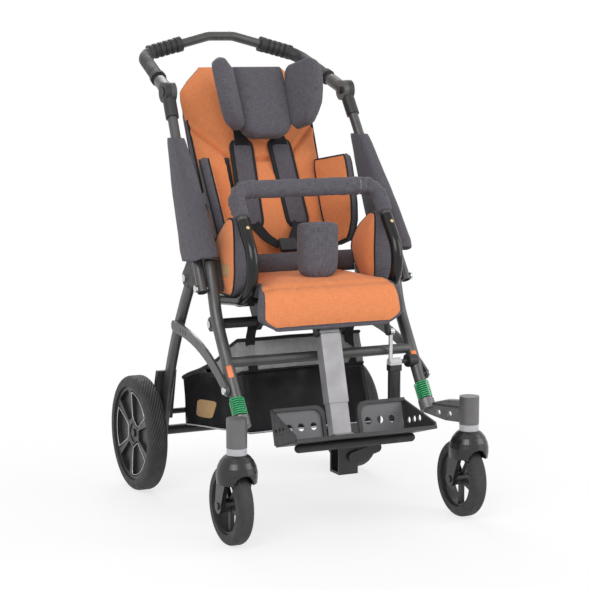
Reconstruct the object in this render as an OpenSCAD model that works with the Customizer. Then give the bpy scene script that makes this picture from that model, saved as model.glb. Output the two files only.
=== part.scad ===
// Special needs buggy: a folding frame on two rear wheels and two sprung casters, with a tilting
// seat, a reclining back, an adjustable push handle, a legrest and a fabric basket.
// The front faces -Y, the child's left is +X and the floor is Z = 0. Left pieces are drawn
// and right pieces are their mirror images.

/* [Rear wheels] */
// Radius of a rear wheel
rear_r = 142; // [132:1:152]
// Width of a rear tyre
rear_tyre_w = 48; // [42:1:52]
// Height of a rear tyre's section
rear_tyre_h = 26; // [22:1:32]
// Gap between a brake housing and a rear wheel
wheel_gap = 14; // [10:1:22]
// Rear axle behind the origin
axle_y = 244; // [234:1:256]
// Diameter of the rear axle tube
axle_d = 24; // [20:1:26]
// Diameter of the stub that a rear wheel turns on
stub_d = 12; // [10:1:16]

/* [Casters] */
// Radius of a caster wheel
caster_r = 90; // [82:1:94]
// Width of a caster tyre
caster_tyre_w = 38; // [34:1:42]
// Height of a caster tyre's section
caster_tyre_h = 24; // [18:1:28]
// Caster axle behind its stem
caster_trail = 31; // [26:1:36]
// Caster stem forward of the spring knuckle
arm_reach = 104; // [96:1:116]
// Caster stem outward of the spring knuckle
arm_spread = 56; // [50:1:64]
// Diameter of a stem housing
stem_d = 46; // [42:1:50]
// Height of a stem housing
stem_h = 65; // [62:1:72]
// Lower edge of a stem housing above the floor
stem_z = 225; // [221:1:230]

/* [Frame] */
// Middle plane to a front tube
frame_half = 238; // [236:1:244]
// Diameter of the front tubes
tube_d = 28; // [26:1:29]
// Wall of the frame tubes
tube_wall = 2; // [1.5:0.1:2.5]
// Spring knuckle in front of the origin
knuckle_y = -256; // [-262:1:-250]
// Spring knuckle above the floor
knuckle_z = 267; // [262:1:272]
// Lean of the front tubes below their bend
lower_lean = 33.4; // [31:0.1:35]
// Lean of the front tubes above their bend
upper_lean = 16.7; // [14:0.1:19]
// Height of the bend in the front tubes
bend_z = 470; // [460:1:476]
// Height of the front tubes' upper ends
front_top_z = 600; // [592:1:608]
// Length of a caster spring
spring_span = 46; // [42:1:50]
// Height of the front crossbar
crossbar_z = 380; // [376:1:388]
// Diameter of the crossbars
crossbar_d = 24; // [20:1:26]
// Diameter of the upper tubes
upper_d = 24; // [20:1:25]

/* [Rear legs] */
// Rear leg inward of a front tube
leg_inset = 10; // [9:1:12]
// Width of a rear leg, across the buggy
leg_w = 22; // [18:1:23]
// Depth of a rear leg, along the buggy
leg_depth = 32; // [28:1:34]
// How far a rear leg bows back
leg_bulge = 24; // [18:1:30]
// Leg hinge behind the origin
pivot_y = 45; // [38:1:52]
// Leg hinge above the floor
pivot_z = 548; // [542:1:554]

/* [Handle] */
// Handle joint behind the origin
joint_y = 165; // [158:1:172]
// Handle joint above the floor
joint_z = 981; // [970:1:992]
// Rearmost line of the handle tube
handle_y = 400; // [390:1:410]
// Height of the handle's middle
handle_z = 1115; // [1100:1:1130]
// Diameter of the handle tube
handle_d = 24; // [22:1:26]
// Diameter of a grip
grip_d = 33; // [30:1:36]

/* [Seat] */
// Tilt bar in front of the origin
seat_bar_y = -94; // [-98:1:-90]
// Tilt bar above the floor
seat_bar_z = 456; // [452:1:460]
// Seat base above the floor
base_z = 505; // [502:1:508]
// Gap between the seat pad and an arm tube
seat_gap = 5; // [4:1:13]
// Thickness of the seat pad
seat_t = 46; // [40:1:52]
// Arm tube inward of a front tube
arm_inset = 53; // [51:1:54]
// Diameter of the arm tubes
arm_d = 28; // [26:1:29]
// Height of the grab bar
grab_z = 764; // [752:1:776]

/* [Back] */
// Back hinge behind the origin
back_y = 48; // [46:1:52]
// Back hinge above the floor
back_z = 540; // [538:1:544]
// Recline of the back at rest
recline = 25.2; // [24:0.1:27]
// Length of the back pad
back_h = 528; // [510:1:540]
// Edge of the back pad inward of an arm tube
back_inset = 15; // [15:1:21]
// Thickness of the back pad
back_t = 40; // [34:1:44]

/* [Legrest] */
// Legrest hinge in front of the origin
post_y = -213; // [-216:1:-211]
// Legrest hinge above the floor
post_z = 440; // [436:1:442]
// Lean of the legrest post
post_lean = 16.3; // [15:0.1:18]
// Width of the legrest post
post_w = 50; // [44:1:52]
// Depth of the legrest post
post_d = 30; // [26:1:32]
// Height of the footplate's hinge
floor_z = 209; // [205:1:213]

/* [Hidden] */

$fn = 48;
// Overrun of a cut past the face that it leaves
over = 4;
// Running clearance of a pin or slider in its hole
fit = 0.06;
// Clearance between faces of two bodies
clear = 0.5;
// Clearance of a soft piece over what it sits on
soft_gap = 0.3;
// A straight run of tube stands proud of its bends by this, and laps into them
seam = 0.02;
lap = 0.5;

// Shared helpers
function unit(v) = v / norm(v);
function mix(a, b, t) = a + (b - a) * t;
function flip(p) = [-p.x, p.y, p.z];
function reversed(list) = [for (i = [len(list) - 1 : -1 : 0]) list[i]];

module along(a, b) {
    d = b - a;
    translate(a)
        rotate([0, acos(d.z / norm(d)), atan2(d.y, d.x)])
            children();
}

module rod(a, b, r) {
    along(a, b)
        cylinder(r = r, h = norm(b - a));
}

// A cylinder along +X from a point
module pin_x(p, r, h) {
    translate(p)
        rotate([0, 90, 0])
            cylinder(r = r, h = h);
}

// A profile drawn in Y and Z, extruded along X
module side_plate(x0, x1) {
    translate([x0, 0, 0])
        multmatrix([[0, 0, 1, 0], [1, 0, 0, 0], [0, 1, 0, 0]])
            linear_extrude(x1 - x0)
                children();
}

module both() {
    children();
    mirror([1, 0, 0])
        children();
}

// A profile in radius and width, swept about an axis at a centre from direction ex towards ey
module arc_sweep(centre, ex, ey, radius, angle) {
    ez = cross(ex, ey);
    multmatrix([[ex.x, ey.x, ez.x, centre.x],
                [ex.y, ey.y, ez.y, centre.y],
                [ex.z, ey.z, ez.z, centre.z]])
        rotate_extrude(angle = angle)
            translate([radius, 0])
                children();
}

// Straight runs and round bends along a list of points
function turn(p, i) = acos(unit(p[i] - p[i - 1]) * unit(p[i + 1] - p[i]));
function trim(p, i, bend_r) = i == 0 || i == len(p) - 1 ? 0 : bend_r * tan(turn(p, i) / 2) - lap;

module bent_rod(p, bend_r, r) {
    for (i = [0 : len(p) - 2]) {
        d = unit(p[i + 1] - p[i]);
        rod(p[i] + d * trim(p, i, bend_r), p[i + 1] - d * trim(p, i + 1, bend_r), r + seam);
    }
    for (i = [1 : len(p) - 2]) {
        d_in = unit(p[i] - p[i - 1]);
        d_out = unit(p[i + 1] - p[i]);
        start = p[i] - d_in * (trim(p, i, bend_r) + lap);
        centre = start + cross(unit(cross(d_in, d_out)), d_in) * bend_r;
        arc_sweep(centre, unit(start - centre), d_in, bend_r, turn(p, i))
            circle(r = r);
    }
}

// A tube with open ends
module bent_tube(p, bend_r, r, wall) {
    last = len(p) - 1;
    longer = concat([p[0] - unit(p[1] - p[0]) * over],
        [for (i = [1 : 1 : last - 1]) p[i]],
        [p[last] + unit(p[last] - p[last - 1]) * over]);
    difference() {
        bent_rod(p, bend_r, r);
        bent_rod(longer, bend_r, r - wall);
    }
}

// Points of an arc, and a bar with round ends
arc_steps = 12;
function arc(c, r, from, to) =
    [for (k = [0 : arc_steps]) let (a = mix(from, to, k / arc_steps)) c + r * [cos(a), sin(a)]];

module round_bar(a, b, r) {
    t = atan2((b - a).y, (b - a).x);
    polygon(concat(arc(b, r, t - 90, t + 90), arc(a, r, t + 90, t + 270)));
}

// A closed skin over rings of points, with crowned ends
module skin(rings, first, last) {
    n = len(rings[0]);
    m = len(rings);
    points = concat([for (ring = rings) each ring], [first, last]);
    sides = [for (i = [0 : m - 2]) for (j = [0 : n - 1]) each
        [[i * n + j, (i + 1) * n + (j + 1) % n, i * n + (j + 1) % n],
         [i * n + j, (i + 1) * n + j, (i + 1) * n + (j + 1) % n]]];
    starts = [for (j = [0 : n - 1]) [m * n, j, (j + 1) % n]];
    ends = [for (j = [0 : n - 1]) [m * n + 1, (m - 1) * n + (j + 1) % n, (m - 1) * n + j]];
    polyhedron(points, concat(sides, starts, ends), convexity = 6);
}

// A closed skin over rings of points that go up outside and come down inside
module skin_loop(rings) {
    n = len(rings[0]);
    m = len(rings);
    polyhedron([for (ring = rings) each ring],
        [for (i = [0 : m - 1]) for (j = [0 : n - 1]) let (up = (i + 1) % m, next = (j + 1) % n) each
            [[i * n + j, up * n + next, i * n + next], [i * n + j, up * n + j, up * n + next]]],
        convexity = 6);
}

// A squarish oval of given half sizes
oval_n = 24;
function power(v, p) = sign(v) * pow(abs(v), p);
function oval(a, b, square_share) =
    [for (j = [0 : oval_n - 1]) let (t = 360 * j / oval_n)
        [a * power(cos(t), square_share), b * power(sin(t), square_share)]];

// A stuffed pad lying in X and Y: its outline swells towards the middle of its thickness
pillow_shares = [[-0.86, 0.86], [-0.55, 0.97], [0, 1], [0.55, 0.97], [0.86, 0.86]];
pillow_crown_share = 0.14;
module pillow(outline, t) {
    flat_t = t / 2 * (1 - pillow_crown_share);
    skin([for (s = pillow_shares) let (z = flat_t * s[0] / pillow_shares[4][0])
            [for (q = outline) [q.x * s[1], q.y * s[1], z]]],
        [0, 0, -t / 2], [0, 0, t / 2]);
}

// Places across the buggy, from the middle plane
leg_half = frame_half - leg_inset;
brake_in = 13;
brake_out = 15;
rear_half = leg_half + leg_w / 2 + brake_out + wheel_gap + rear_tyre_w / 2;
arm_half = frame_half - arm_inset;
arm_r = arm_d / 2;
seat_half = arm_half - arm_r - seat_gap;
back_half = arm_half - back_inset;

// Front frame
tube_r = tube_d / 2;
upper_r = upper_d / 2;
crossbar_r = crossbar_d / 2;
bolt_r = 4;
bolt_head_r = 8.5;
bolt_head_h = 5;
front_bend_r = 260;
lean_dir = [0, sin(lower_lean), cos(lower_lean)];
knuckle = [frame_half, knuckle_y, knuckle_z];
bend_y = knuckle_y + (bend_z - knuckle_z) * tan(lower_lean);
function front_y(z) = z < bend_z ? knuckle_y + (z - knuckle_z) * tan(lower_lean)
    : bend_y + (z - bend_z) * tan(upper_lean);
function front_at(z) = [frame_half, front_y(z), z];
front_end = knuckle + lean_dir * spring_span;
front_path = [front_end, front_at(bend_z), front_at(front_top_z)];

// The upper tube crosses outside the front tube at a bolt and rises to the handle joint
upper_foot_z = 541;
upper_tail = 10;
side_gap = 1;
upper_foot = [frame_half + tube_r + upper_r + side_gap, front_y(upper_foot_z), upper_foot_z];
joint = [frame_half, joint_y, joint_z];
upper_dir = unit(joint - upper_foot);
disc_r = 25;
disc_t = 14;
upper_top = joint - upper_dir * (disc_r + upper_r);
function upper_at(z) = upper_foot + upper_dir * ((z - upper_foot_z) / upper_dir.z);

// Fold link bolt, low on the front tube
link_z = 323;
link_t = 6;
link_gap = 1.5;
link_bolt = front_at(link_z);
link_x0 = frame_half + tube_r + link_gap;

module front_tube() color("dimgray") difference() {
    bent_tube(front_path, front_bend_r, tube_r, tube_wall);
    pin_x(link_bolt, bolt_r, tube_d);
    pin_x(front_at(upper_foot_z), bolt_r, tube_d);
}
module front_tube_left() front_tube();
module front_tube_right() mirror([1, 0, 0]) front_tube();

module front_crossbar() color("dimgray") difference() {
    pin_x([-frame_half, front_y(crossbar_z), crossbar_z], crossbar_r, 2 * frame_half);
    pin_x([-frame_half, front_y(crossbar_z), crossbar_z], crossbar_r - tube_wall, 2 * frame_half);
    both()
        bent_rod(front_path, front_bend_r, tube_r);
}

// The tilt bar hangs behind the front tubes on two welded plates
seat_bar = [0, seat_bar_y, seat_bar_z];
bar_plate_t = 8;
bar_plate_r = 17;
bar_end = frame_half + bar_plate_t / 2;
module seat_crossbar() color("dimgray") {
    difference() {
        union() {
            pin_x([-bar_end, seat_bar_y, seat_bar_z], crossbar_r, 2 * bar_end);
            both()
                side_plate(frame_half - bar_plate_t / 2, bar_end)
                    round_bar([seat_bar_y, seat_bar_z],
                        [front_y(seat_bar_z) + crossbar_r, seat_bar_z + bar_plate_r / 2], bar_plate_r);
        }
        both() {
            bent_rod(front_path, front_bend_r, tube_r);
            pin_x([frame_half - bar_plate_t, seat_bar_y, seat_bar_z], bolt_r, bar_plate_t + over);
        }
        pin_x([bar_plate_t - frame_half, seat_bar_y, seat_bar_z], crossbar_r - tube_wall,
            2 * (frame_half - bar_plate_t));
    }
}

// Moulded hinge housing: a block on the front tube with a slot for the rear leg's eye
pivot = [leg_half, pivot_y, pivot_z];
pivot_pin_r = 6;
house_in = 3;
house_out = 7;
house_x0 = leg_half - leg_w / 2 - house_in;
house_x1 = leg_half + leg_w / 2 + house_out;
house_foot_z = 532;
house_rise = 4;
house_top_z = front_top_z + house_rise;
house_front = 6;
house_eye_r = 21;
house_slot = 30;
house_back = 14;
module hinge_housing() difference() {
    union() {
        side_plate(house_x0, house_x1)
            polygon([[front_y(house_foot_z) - house_front, house_foot_z],
                     [front_y(house_top_z) - house_front, house_top_z],
                     [pivot_y - house_eye_r, house_top_z],
                     [pivot_y + house_back, pivot_z + house_back],
                     [pivot_y, pivot_z],
                     [pivot_y - house_back, house_foot_z]]);
        pin_x([house_x0, pivot_y, pivot_z], house_eye_r, house_x1 - house_x0);
    }
    translate([leg_half - leg_w / 2 - clear, pivot_y - house_slot, house_foot_z - house_eye_r])
        cube([leg_w + 2 * clear, house_slot + 2 * house_eye_r, house_top_z - house_foot_z]);
    bent_rod(front_path, front_bend_r, tube_r);
    rod(front_at(bend_z), front_at(front_top_z + 2 * house_front), tube_r + seam);
    pin_x([house_x0 - over, pivot_y, pivot_z], pivot_pin_r, house_x1 - house_x0 + 2 * over);
    rod(upper_foot - upper_dir * upper_tail, joint, upper_r + clear);
}
module hinge_housings() color("darkslategray") both() hinge_housing();

module upper_tube() color("dimgray") difference() {
    rod(upper_foot - upper_dir * upper_tail, upper_top, upper_r);
    rod(upper_foot - upper_dir * upper_tail * 2, upper_top + upper_dir * over, upper_r - tube_wall);
    pin_x(front_at(upper_foot_z), bolt_r, upper_d * 2 + tube_d);
}
module upper_tube_left() upper_tube();
module upper_tube_right() mirror([1, 0, 0]) upper_tube();

// Padded cover over the upper tube, wide at its foot
cover_foot_z = 615;
cover_top_drop = 113;
cover_top_z = joint_z - cover_top_drop;
cover_foot_half = [30, 80];
cover_top_half = [20, 36];
cover_foot_back = -4;
cover_foot_in = 8;
cover_shares = [[0, 0.8], [0.03, 0.95], [0.12, 1], [0.4, 1], [0.7, 1], [0.92, 1], [0.98, 0.94], [1, 0.8]];
function cover_ring(s) = let (
        z = mix(cover_foot_z, cover_top_z, s[0]),
        c = upper_at(z) + mix([-cover_foot_in, cover_foot_back, 0], [0, 0, 0], s[0]),
        half = mix(cover_foot_half, cover_top_half, s[0]) * s[1])
    [for (q = oval(half.x, half.y, 0.75)) [c.x + q.x, c.y + q.y, z]];
// The hole for the tube, cut level at a share of the cover's height
cover_bore_r = upper_r + 2 * soft_gap;
function bore_ring(s) = let (z = mix(cover_foot_z, cover_top_z, s[0]))
    [for (j = [0 : oval_n - 1]) let (out = [cos(360 * j / oval_n), sin(360 * j / oval_n), 0])
        upper_at(z) + out * cover_bore_r / sqrt(1 - pow(out * upper_dir, 2))];
module tube_cover() skin_loop(concat([for (s = cover_shares) cover_ring(s)],
    reversed([for (s = cover_shares) bore_ring(s)])));
module tube_covers() color("slategray") both() tube_cover();

// Lower half of the handle joint: a socket on the upper tube and an outer disc
socket_r = 16;
socket_len = 70;
cap_r = 13;
cap_t = 3;
module handle_joint() difference() {
    union() {
        rod(joint - upper_dir * socket_len, joint, socket_r);
        pin_x(joint + [clear / 2, 0, 0], disc_r, disc_t);
        pin_x(joint + [disc_t, 0, 0], cap_r, cap_t);
    }
    pin_x(joint - [disc_t * 2, 0, 0], disc_r + clear, disc_t * 2 + clear / 2);
    rod(upper_foot, upper_top, upper_r);
}
module handle_joints() color("black") both() handle_joint();

// Bolts and hinge pins of the frame: shanks in their holes, low heads outside
module bolt(p, from, to, r) {
    pin_x([from, p.y, p.z], r, to - from);
    pin_x([to, p.y, p.z], bolt_head_r, bolt_head_h);
}
bolt_in = frame_half + tube_r - tube_wall;
module frame_bolts() color("silver") both() {
    bolt(link_bolt, bolt_in + soft_gap, link_x0 + link_t + clear * 2, bolt_r);
    bolt(front_at(upper_foot_z), bolt_in, upper_foot.x + upper_r + 2 * clear, bolt_r);
    bolt(seat_bar, bar_end - bar_plate_t + seam, bar_end, bolt_r);
    bolt(pivot, house_x0, house_x1, pivot_pin_r);
}

// Gas spring: hung at its head from a bracket on the left front tube
gas_inset = 58;
gas_x = frame_half - gas_inset;
gas_y = -206;
gas_head_z = 354;
gas_eye_z = 428;
gas_r = 15;
gas_rod_r = 5;
gas_foot_z = 214;
gas_head_h = 20;
gas_pin_r = 5;
gas_eye_r = 9;
gas_plate_t = 8;
gas_lug_x = gas_x + gas_r + clear;
module gas_bracket() color("black") difference() {
    union() {
        side_plate(frame_half - tube_r - gas_plate_t, frame_half)
            round_bar([gas_y, gas_head_z], [front_y(gas_head_z), gas_head_z], gas_r);
        pin_x([gas_x, gas_y, gas_head_z], gas_pin_r, frame_half - tube_r - gas_x);
    }
    bent_rod(front_path, front_bend_r, tube_r);
}
module gas_cylinder() color("black") difference() {
    union() {
        translate([gas_x, gas_y, gas_foot_z])
            cylinder(r = gas_r, h = gas_head_z - gas_head_h - gas_foot_z);
        pin_x([gas_x - gas_r, gas_y, gas_head_z], gas_head_h / 2, 2 * gas_r);
        translate([gas_x - gas_r, gas_y - gas_head_h / 2, gas_head_z - gas_head_h - clear])
            cube([2 * gas_r, gas_head_h, gas_head_h + clear]);
    }
    pin_x([gas_x - clear, gas_y, gas_head_z], gas_pin_r + fit, gas_r + over);
    translate([gas_x - gas_head_h / 2, gas_y, gas_foot_z + gas_head_h])
        cylinder(r = gas_rod_r + fit, h = gas_head_z - gas_foot_z);
}
gas_rod_x = gas_x - gas_head_h / 2;
gas_travel = 50;
gas_slack = 3.5;
module gas_rod() color("silver") difference() {
    union() {
        translate([gas_rod_x, gas_y, gas_foot_z + gas_head_h + gas_r])
            cylinder(r = gas_rod_r, h = gas_eye_z - gas_foot_z - gas_head_h - gas_r);
        side_plate(gas_rod_x - gas_rod_r, gas_rod_x + gas_rod_r)
            round_bar([gas_y - gas_slack, gas_eye_z], [gas_y + gas_slack, gas_eye_z], gas_eye_r);
    }
    side_plate(gas_rod_x - gas_rod_r * 2, gas_rod_x + gas_rod_r * 2)
        round_bar([gas_y - gas_slack, gas_eye_z], [gas_y + gas_slack, gas_eye_z], bolt_r + clear);
}

// Fabric basket: a tub that is high at the front, on two straps from the tilt bar
basket_inset = 48;
basket_half = frame_half - basket_inset;
basket_t = 4;
basket_back = [205, 282];
basket_heel = [192, 160];
basket_toe = [-140, 195];
basket_front = [-62, 405];
strap_in = 50;
strap_w = 16;
strap_x = [basket_half - strap_in, basket_half - strap_in + strap_w];
strap_t = 3;
module basket() color("black") {
    difference() {
        side_plate(-basket_half, basket_half)
            polygon([basket_back, basket_heel, basket_toe, basket_front]);
        side_plate(-basket_half + basket_t, basket_half - basket_t)
            polygon([basket_back + [-basket_t, over], basket_heel + [-basket_t, basket_t],
                     basket_toe + [2 * basket_t, basket_t], basket_front + [2 * basket_t, over]]);
    }
    both()
        difference() {
            side_plate(strap_x[0], strap_x[1]) {
                round_bar(basket_front + [basket_t, -basket_t], [seat_bar_y, seat_bar_z], strap_t);
                translate([seat_bar_y, seat_bar_z])
                    circle(r = crossbar_r + strap_t);
            }
            pin_x([strap_x[0] - over, seat_bar_y, seat_bar_z], crossbar_r + soft_gap, strap_x[1]);
        }
}

// Rear legs: flat-oval tubes bowed back, with an eye at the hinge
axle_r = axle_d / 2;
axle = [leg_half, axle_y, rear_r];
leg_tail = 34;
leg_chord = axle - pivot;
leg_c = norm(leg_chord);
leg_R = leg_c * leg_c / (8 * leg_bulge) + leg_bulge / 2;
leg_out = unit([0, -leg_chord.z, leg_chord.y]);
leg_centre = (pivot + axle) / 2 - leg_out * (leg_R - leg_bulge);
leg_ex = unit(pivot - leg_centre);
leg_ey = unit(cross([-1, 0, 0], leg_ex));
leg_angle = 2 * asin(leg_c / (2 * leg_R));
leg_tail_angle = leg_tail / leg_R * 180 / PI;
function leg_point(a) = leg_centre + (leg_ex * cos(a) + leg_ey * sin(a)) * leg_R;
function leg_tangent(a) = leg_ey * cos(a) - leg_ex * sin(a);
leg_fn = 240;
socket_mount_r = 8;
socket_mount_depth = 16;
module leg_sweep(grow, extra) {
    arc_sweep(leg_centre, leg_ex, leg_ey, leg_R, leg_angle + leg_tail_angle + extra, $fn = leg_fn) {
        square([leg_depth - leg_w, leg_w + 2 * grow], center = true);
        for (side = [-1, 1])
            translate([side * (leg_depth - leg_w) / 2, 0])
                circle(r = leg_w / 2 + grow);
    }
}
// Keeper plate that the fold link slides behind
keeper_share = 0.335;
keeper_point = leg_point(leg_angle * keeper_share);
keeper_reach = 24;
keeper_r = 13;
keeper_t = 5;
link_top = [keeper_point.y - keeper_reach, keeper_point.z];
module rear_leg() color("dimgray") difference() {
    union() {
        leg_sweep(0, 0);
        pin_x([leg_half - leg_w / 2, pivot_y, pivot_z], leg_depth / 2, leg_w);
        side_plate(leg_half, leg_half + leg_w / 2 + keeper_t)
            round_bar([keeper_point.y, keeper_point.z], link_top, keeper_r);
    }
    pin_x([leg_half - leg_w, pivot_y, pivot_z], pivot_pin_r + fit, 2 * leg_w);
    pin_x([leg_half - leg_w, axle_y, rear_r], axle_r, 2 * leg_w);
    rod(leg_point(leg_angle + leg_tail_angle) + leg_tangent(leg_angle + leg_tail_angle) * over,
        leg_point(leg_angle + leg_tail_angle)
            - leg_tangent(leg_angle + leg_tail_angle) * socket_mount_depth, socket_mount_r);
}
module rear_leg_left() rear_leg();
module rear_leg_right() mirror([1, 0, 0]) rear_leg();

// Axle tube through both legs, with a stub and end cap for each wheel
stub_r = stub_d / 2;
hub_in = rear_tyre_w / 2;
hub_out = 12;
stub_cap = 4;
module rear_axle_tube() color("dimgray") {
    pin_x([hub_in + clear - rear_half, axle_y, rear_r], axle_r, 2 * (rear_half - hub_in - clear));
    pin_x([-rear_half - hub_out - clear, axle_y, rear_r], stub_r, 2 * (rear_half + hub_out + clear));
    both()
        pin_x([rear_half + hub_out + clear, axle_y, rear_r], axle_r * 0.8, stub_cap);
}

// Brake: a rod across the legs turned by a pedal, carried by moulded housings
brake_rise = 46;
brake_z = rear_r + brake_rise;
brake_rod_r = 7;
brake_top_rise = 156;
brake_foot_rise = 30;
brake_top_z = rear_r + brake_top_rise;
brake_foot_z = rear_r + brake_foot_rise;
brake_depth = 26;
function leg_back_y(z) = leg_centre.y + sqrt(pow(leg_R + leg_depth / 2, 2) - pow(z - leg_centre.z, 2));
brake_rod_y = axle_y;
module brake_housings() color("black") both() difference() {
    side_plate(leg_half - leg_w / 2 - brake_in, leg_half + leg_w / 2 + brake_out)
        polygon([[leg_back_y(brake_foot_z) - brake_depth / 2, brake_foot_z],
                 [leg_back_y(brake_foot_z) + brake_depth / 2, brake_foot_z],
                 [leg_back_y(brake_top_z) + brake_depth / 2, brake_top_z],
                 [leg_back_y(brake_top_z), brake_top_z]]);
    leg_sweep(soft_gap, 0);
    pin_x([0, brake_rod_y, brake_z], brake_rod_r + fit, leg_half - leg_w / 2);
}
pedal_w = 120;
pedal_reach = 70;
pedal_t = 5;
pedal_drop = 14;
module brake_pedal() color("dimgray") {
    brake_end = leg_half - leg_w / 2 - clear;
    pin_x([-brake_end, brake_rod_y, brake_z], brake_rod_r, 2 * brake_end);
    side_plate(-pedal_w / 2, pedal_w / 2)
        round_bar([brake_rod_y, brake_z], [brake_rod_y + pedal_reach, brake_z - pedal_drop], pedal_t);
}

// Crescent links between the front tubes and the keepers
link_half_w = 13;
link_sag = 26;
link_a = [link_bolt.y, link_bolt.z];
link_c = norm(link_top - link_a);
link_R = link_c * link_c / (8 * link_sag) + link_sag / 2;
link_dir = unit(link_top - link_a);
link_up = [-link_dir.y, link_dir.x];
link_centre = (link_a + link_top) / 2 - link_up * (link_R - link_sag);
function bearing(v) = atan2(v.y, v.x);
link_from = bearing(link_a - link_centre);
link_to = bearing(link_top - link_centre);
link_slot = [4, 11];
link_slot_shares = [0.78, 0.83, 0.88];
link_slant = atan2(frame_half + tube_r + link_gap - leg_half - leg_w / 2 - keeper_t - side_gap,
    link_top.x - link_a.x);
module fold_link() difference() {
    translate([link_x0, link_a.x, 0])
        rotate([0, 0, link_slant])
            translate([0, -link_a.x, 0])
                side_plate(0, link_t)
                    difference() {
                        polygon(concat(arc(link_centre, link_R + link_half_w, link_from, link_to),
                            arc(link_top, link_half_w, link_to, link_to - 180),
                            arc(link_centre, link_R - link_half_w, link_to, link_from),
                            arc(link_a, link_half_w, link_from - 180, link_from - 360)));
                        for (s = link_slot_shares)
                            translate(link_centre + link_R * [cos(mix(link_from, link_to, s)),
                                                              sin(mix(link_from, link_to, s))])
                                rotate(mix(link_from, link_to, s) - 90)
                                    square(link_slot, center = true);
                    }
    pin_x([frame_half, link_bolt.y, link_bolt.z], bolt_r + fit, tube_d * 2);
}
module fold_links() color("dimgray") both() fold_link();

// Rear wheel, drawn about the Z axis with its outer face up
tyre_round = rear_tyre_h / 2;
module tyre_profile(r, w, h, round_r) {
    translate([r - h, -w / 2 + round_r])
        square([h, w - 2 * round_r]);
    translate([r - h, -w / 2])
        square([h - round_r, w]);
    for (side = [-1, 1])
        translate([r - round_r, side * (w / 2 - round_r)])
            circle(r = round_r);
}
module rear_tyre() color("black")
    translate([rear_half, axle_y, rear_r])
        rotate([0, 90, 0])
            rotate_extrude()
                tyre_profile(rear_r, rear_tyre_w, rear_tyre_h, tyre_round);
module rear_tyre_left() rear_tyre();
module rear_tyre_right() mirror([1, 0, 0]) rear_tyre();

rim_seat_t = 6;
rim_half = 19;
hub_r = 24;
rim_face = 6;
rim_floor = 8;
rim_back_t = 5;
rim_r = rear_r - rear_tyre_h;
rim_turn = 90;
window_count = 3;
window_in = 30;
window_angle = 32;
gap_in = 38;
gap_angle = 19;
// A recess in the outer face, between two spokes
module rim_window(inner, angle) {
    tip = rim_r - rim_seat_t * 3 / 2;
    corner = inner * [cos(angle), sin(angle)];
    translate([0, 0, rim_floor])
        linear_extrude(rim_half + rim_face)
            polygon(concat(arc([0, 0], tip, -angle, angle), [corner, [corner.x, -corner.y]]));
}
module rear_rim() color("dimgray")
    translate([rear_half, axle_y, rear_r])
        rotate([0, 90, 0])
            difference() {
                union() {
                    rotate_extrude() {
                        translate([stub_r + fit, -hub_in])
                            square([hub_r - stub_r - fit, hub_in + hub_out]);
                        translate([stub_r + fit, rim_floor - rim_back_t])
                            square([rim_r - rim_seat_t / 2 - stub_r - fit, rim_back_t]);
                        translate([rim_r - rim_seat_t, -rim_half])
                            square([rim_seat_t, 2 * rim_half]);
                    }
                    rotate_extrude()
                        polygon([[hub_r / 2, rim_floor - clear], [rim_r - rim_seat_t / 2, rim_floor - clear],
                                 [rim_r - rim_seat_t / 2, rim_half], [hub_r / 2, rim_floor + rim_face]]);
                }
                for (i = [0 : window_count - 1]) {
                    rotate(rim_turn + i * 360 / window_count)
                        rim_window(window_in, window_angle);
                    rotate(rim_turn + (i + 0.5) * 360 / window_count)
                        rim_window(gap_in, gap_angle);
                }
                cylinder(r = stub_r + fit, h = 2 * rear_half, center = true);
                translate([0, 0, hub_out])
                    cylinder(r = hub_r, h = rim_half + rim_face);
            }
module rear_rim_left() rear_rim();
module rear_rim_right() mirror([1, 0, 0]) rear_rim();

// Caster arm: slider, knuckle, drilled beam and stem housing
stem = [frame_half + arm_spread, knuckle_y - arm_reach];
stem_r = stem_d / 2;
stem_pin_r = 8;
stem_pin_len = 56;
slider_len = 90;
slider_r = tube_r - tube_wall - fit;
knuckle_r = 19;
knuckle_len = 24;
beam_t = 18;
beam_low_z = stem_z + 4 * clear;
beam_high_z = 280;
beam_root_z = 258;
beam_hole_r = 8;
beam_hole_shares = [0.32, 0.575];
beam_rib = 5;
beam_len = norm([arm_spread, arm_reach]);
knuckle_foot = knuckle - lean_dir * knuckle_len;
module caster_arm() color("dimgray") difference() {
    union() {
        rod(knuckle_foot, knuckle, knuckle_r);
        rod(knuckle_foot, knuckle + lean_dir * slider_len, slider_r);
        translate([stem.x, stem.y, stem_z])
            cylinder(r = stem_r, h = stem_h);
        translate([frame_half, knuckle_y, 0])
            rotate([0, 0, atan2(-arm_reach, arm_spread)])
                rotate([90, 0, 0])
                    translate([0, 0, -beam_t / 2])
                        difference() {
                            linear_extrude(beam_t)
                                polygon([[0, beam_low_z + knuckle_len / 2], [beam_len / 2, beam_low_z],
                                         [beam_len, beam_low_z], [beam_len, beam_high_z],
                                         [beam_len / 2, beam_high_z - beam_rib], [0, beam_root_z]]);
                            for (s = beam_hole_shares)
                                translate([beam_len * s, beam_low_z + 2 * beam_hole_r, -over])
                                    cylinder(r = beam_hole_r, h = beam_t + 2 * over);
                            for (z0 = [-over, beam_t - beam_rib])
                                translate([knuckle_r, beam_low_z + 4 * beam_hole_r, z0])
                                    cube([beam_len, beam_rib, beam_rib + over]);
                        }
    }
    translate([stem.x, stem.y, stem_z - over])
        cylinder(r = stem_pin_r + fit, h = stem_pin_len + 2 * over);
}
module caster_arm_left() caster_arm();
module caster_arm_right() mirror([1, 0, 0]) caster_arm();

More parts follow.
